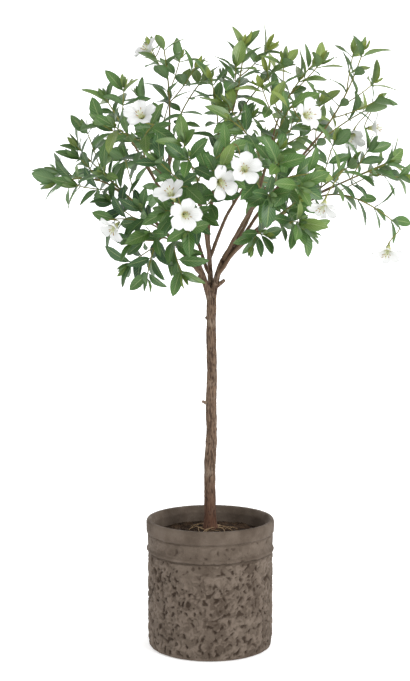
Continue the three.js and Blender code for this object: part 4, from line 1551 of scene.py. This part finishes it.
@dataclass
class PetalParts:
    """Petals, full size: ahead along the flower's axis, over on the outer side."""

    radius: float = 0.036
    depth: float = 0.030
    waves: tuple[float, ...] = (0.0012, -0.0015, 0.0018)
    rows: int = 12
    columns: int = 11

    def section(self, share: float) -> tuple[float, float, float]:
        """The radius, the depth and the half angle of the corolla at a share of a petal's length."""
        stations = (0.0, 0.2, 0.42, 0.6, 0.8, 0.93, 1.0)
        radii = (0.0022, 0.0046, 0.0085, 0.0165, 0.0265, 0.033, self.radius)
        depths = (0.0, 0.0075, 0.0165, 0.0235, 0.0285, 0.0298, 0.0285)
        angles = (0.66, 0.66, 0.66, 0.68, 0.6, 0.38, 0.04)
        return tuple(float(np.interp(share, stations, row)) for row in (radii, depths, angles))

    def build(self) -> bpy.types.Collection:
        """Builds the petals in a collection of their own."""
        parts = bpy.data.collections.new("petal_parts")
        for index, wave in enumerate(self.waves):
            sheet = np.zeros((self.rows, self.columns, 3))
            depth = np.full((self.rows, self.columns), 0.0005)
            depth[0] = depth[-1] = 0.0
            depth[:, 0] = depth[:, -1] = 0.0
            flat = []
            for i in range(self.rows):
                share = (i / (self.rows - 1)) ** 0.85
                radius, ahead, spread = self.section(share)
                for k in range(self.columns):
                    across = k / (self.columns - 1) * 2 - 1
                    angle = across * spread
                    ruffle = wave * smooth(share, 0.5, 0.95) * math.sin(across * 4.5 + index + share * 3)
                    crease = 0.002 * smooth(share, 0.45, 0.8) * (abs(across) ** 1.5 - 0.4)
                    sheet[i, k] = (ahead + ruffle + crease, radius * math.sin(angle), radius * math.cos(angle))
                    flat.append((share, 0.5 + across * 0.5))
            parts.objects.link(part_of(f"petal_part_{index}", sheet, depth, flat))
        return parts


@dataclass
class Corollas:
    """The plant's flowers: white petals, stamens, and green stalks with their sepals."""

    stems: Recipe
    growth: Recipe
    leaf_parts: bpy.types.Collection
    petal_parts: bpy.types.Collection
    depth: float = 0.030
    bud_foot: float = 0.0036
    bud_length: float = 0.009
    stamens: int = 7

    def build(self) -> None:
        """Builds each truss as three pieces."""
        for index, truss in enumerate(TRUSSES):
            _, shoot = BRANCHES[truss.branch - 1].shoots()[truss.tip - 1]
            heading = shoot.tangent(1)
            start = shoot.point(1) + heading * self.bud_foot
            stalks, threads, petals, sepals = Lines(), Lines(), Settings(), Settings()
            if len(truss.blooms) > 1:
                ends = [start - heading * 0.004, start, start + heading * 0.005, start + heading * self.bud_length]
                stalks.add(ends, [0.0016, 0.0028, 0.003, 0.0022], [0.6, 0.7, 0.8, 0.9])
            foot = start if len(truss.blooms) == 1 else start + heading * self.bud_length * 0.6
            for order, bloom in enumerate(truss.blooms):
                self.bloom(bloom, foot, heading, index * 10 + order, stalks, threads, petals, sepals)
            label = f"{index + 1:02d}"
            node = f"flower_{label}"
            present(petals.set_out(self.growth, f"petals_{label}", Petal(), self.petal_parts), Slot.PETAL, node)
            present(threads.sweep(self.stems, f"stamens_{label}", Stamen(), sides=6), Slot.PETAL, node)
            present(stalks.sweep(self.stems, f"stalk_{label}", GreenWood(), sides=8), Slot.BARK, node)
            present(sepals.set_out(self.growth, f"sepals_{label}", Foliage(), self.leaf_parts), Slot.LEAF, node)

    def bloom(self, bloom: Bloom, start: Vector, heading: Vector, seed: int, stalks: Lines, threads: Lines,
              petals: Settings, sepals: Settings) -> None:
        """Adds one flower's stalk, stamens, petals and sepals."""
        look = Vector(bloom.facing).normalized()
        foot = metres(bloom.at) - look * self.depth * 0.65
        reach = (foot - start).length
        line = Bend((start, start + heading * reach * 0.35, foot - look * reach * 0.35, foot))
        places = [line.point(i / 14) for i in range(15)] + [foot + look * 0.0035]
        stalks.add(places, [0.0013] * 12 + [0.0015, 0.0021, 0.0027, 0.0022], [0.55 + 0.03 * i for i in range(16)])
        across = heading.cross(look).normalized()
        pose = Pose.on(line, 1, across)
        for k in range(5):
            angle = k * 2 * math.pi / 5
            out = pose.across * math.cos(angle) + pose.over * math.sin(angle)
            size = (0.97 if k % 2 else 1.03) * lerp(0.95, 1.05, scatter(seed + k * 3.3))
            tilt = (scatter(seed * 1.3 + k) - 0.5) * 0.16
            ahead = (look * math.cos(tilt) - out * math.sin(tilt)).normalized()
            over = (out * math.cos(tilt) + look * math.sin(tilt)).normalized()
            petals.add(Pose(foot, ahead, over.cross(ahead), over), (size, size, size), (seed + k) % 3)
            low = out * math.cos(0.63) + look.cross(out) * math.sin(0.63)
            lean = Pose.leaning(foot - look * 0.001 + low * 0.001, look, low, low.cross(look), 0.5)
            sepals.add(Pose(lean.middle, lean.ahead, lean.across, lean.over), (0.011, 0.0045, 0.011), k, 0.5)
        for k in range(self.stamens + 1):
            middle = k == self.stamens
            angle = k * 2 * math.pi / self.stamens + scatter(seed + k) * 0.5
            out = pose.across * math.cos(angle) + pose.over * math.sin(angle)
            height = 0.037 if middle else lerp(0.027, 0.035, scatter(seed + k * 2.1))
            spread = 0.001 if middle else lerp(0.007, 0.012, scatter(seed + k * 1.4))
            droop = pose.over * -0.004
            line_up = Bend((foot + look * 0.008, foot + look * height * 0.7, foot + look * height + out * spread + droop))
            places = [line_up.point(i / 9) for i in range(10)]
            girths = [0.0006] * 8 + ([0.0008, 0.0011] if middle else [0.0011, 0.0009])
            ages = [0.8 * i / 9 for i in range(10)] if middle else [0.9 * i / 9 for i in range(8)] + [0.95, 1.0]
            threads.add(places, girths, ages)


# ---------------------------------------------------------------- studio


@dataclass
class Studio:
    """A plain white studio: pale paper, even light, and a soft key from the right of the camera."""

    lens: float = 73.44
    place: Point = (-0.0125, -3.25, 1.030)
    tilt: float = 5.315
    ambient: float = 0.72

    def build(self) -> None:
        """Builds the floor, the lights and the camera."""
        floor = mesh_object("paper", [(-8, -8, 0), (8, -8, 0), (8, 8, 0), (-8, 8, 0)], [(0, 1, 2, 3)], StudioPaper())
        floor.location.z = -0.0005
        floor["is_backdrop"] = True
        sheet = [(-9, 6, -1), (9, 6, -1), (9, 6, 9), (-9, 6, 9)]
        wall = mesh_object("backdrop", sheet, [(0, 1, 2, 3)], BackPaper())
        wall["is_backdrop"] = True
        self.light("key", (2.2, -2.4, 2.6), (0.0, 0.0, 0.8), 1.3, 72.0)
        self.light("fill", (-2.6, -1.6, 1.6), (0.0, 0.0, 0.8), 1.8, 3.0)
        world = bpy.data.worlds.new("white_room")
        world.use_nodes = True
        surface = world.node_tree.nodes["Background"]
        surface.inputs["Color"].default_value = (1.0, 1.0, 1.0, 1.0)
        surface.inputs["Strength"].default_value = self.ambient
        bpy.context.scene.world = world
        camera = bpy.data.cameras.new("camera")
        camera.lens, camera.sensor_width, camera.sensor_fit = self.lens, 36.0, "AUTO"
        eye = bpy.data.objects.new("camera", camera)
        eye.location = self.place
        eye.rotation_euler = (math.radians(90 - self.tilt), 0.0, 0.0)
        bpy.context.scene.collection.objects.link(eye)
        bpy.context.scene.camera = eye
        bpy.context.scene.view_settings.view_transform = "Standard"

    @staticmethod
    def light(name: str, place: Point, target: Point, size: float, power: float) -> None:
        """Adds a square soft light that looks at a target."""
        data = bpy.data.lights.new(name, "AREA")
        data.size, data.energy = size, power
        made = bpy.data.objects.new(name, data)
        made.location = place
        made.rotation_euler = (Vector(target) - Vector(place)).to_track_quat("-Z", "Y").to_euler()
        bpy.context.scene.collection.objects.link(made)


def write_size(before: Any, after: Any) -> None:
    """Logs the framework's box before and after the build, as plain lists."""
    lists = {name: [[float(value) for value in corner] for corner in box]
             for name, box in (("cad", before), ("end", after))}
    LOG.info("size: %s", lists)


def main() -> None:
    """Builds the plant from the pot up, then the studio."""
    logging.basicConfig(level=logging.INFO, format="%(name)s %(message)s")
    stems, growth, crumbs = stem_recipe(), growth_recipe(), crumb_recipe()
    leaf_parts, petal_parts = LeafParts().build(), PetalParts().build()
    Pot().build()
    SoilBed().build(crumbs, stems)
    Trunk().build()
    first = 0
    for index, branch in enumerate(BRANCHES):
        flowering = tuple(truss.tip for truss in TRUSSES if truss.branch == index + 1)
        Crown(index + 1, first, branch, flowering, stems, growth, leaf_parts).build()
        first += len(branch.tips)
    Corollas(stems, growth, leaf_parts, petal_parts).build()
    Studio().build()
    write_size(CAD_BOX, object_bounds())


if __name__ == "__main__":
    main()
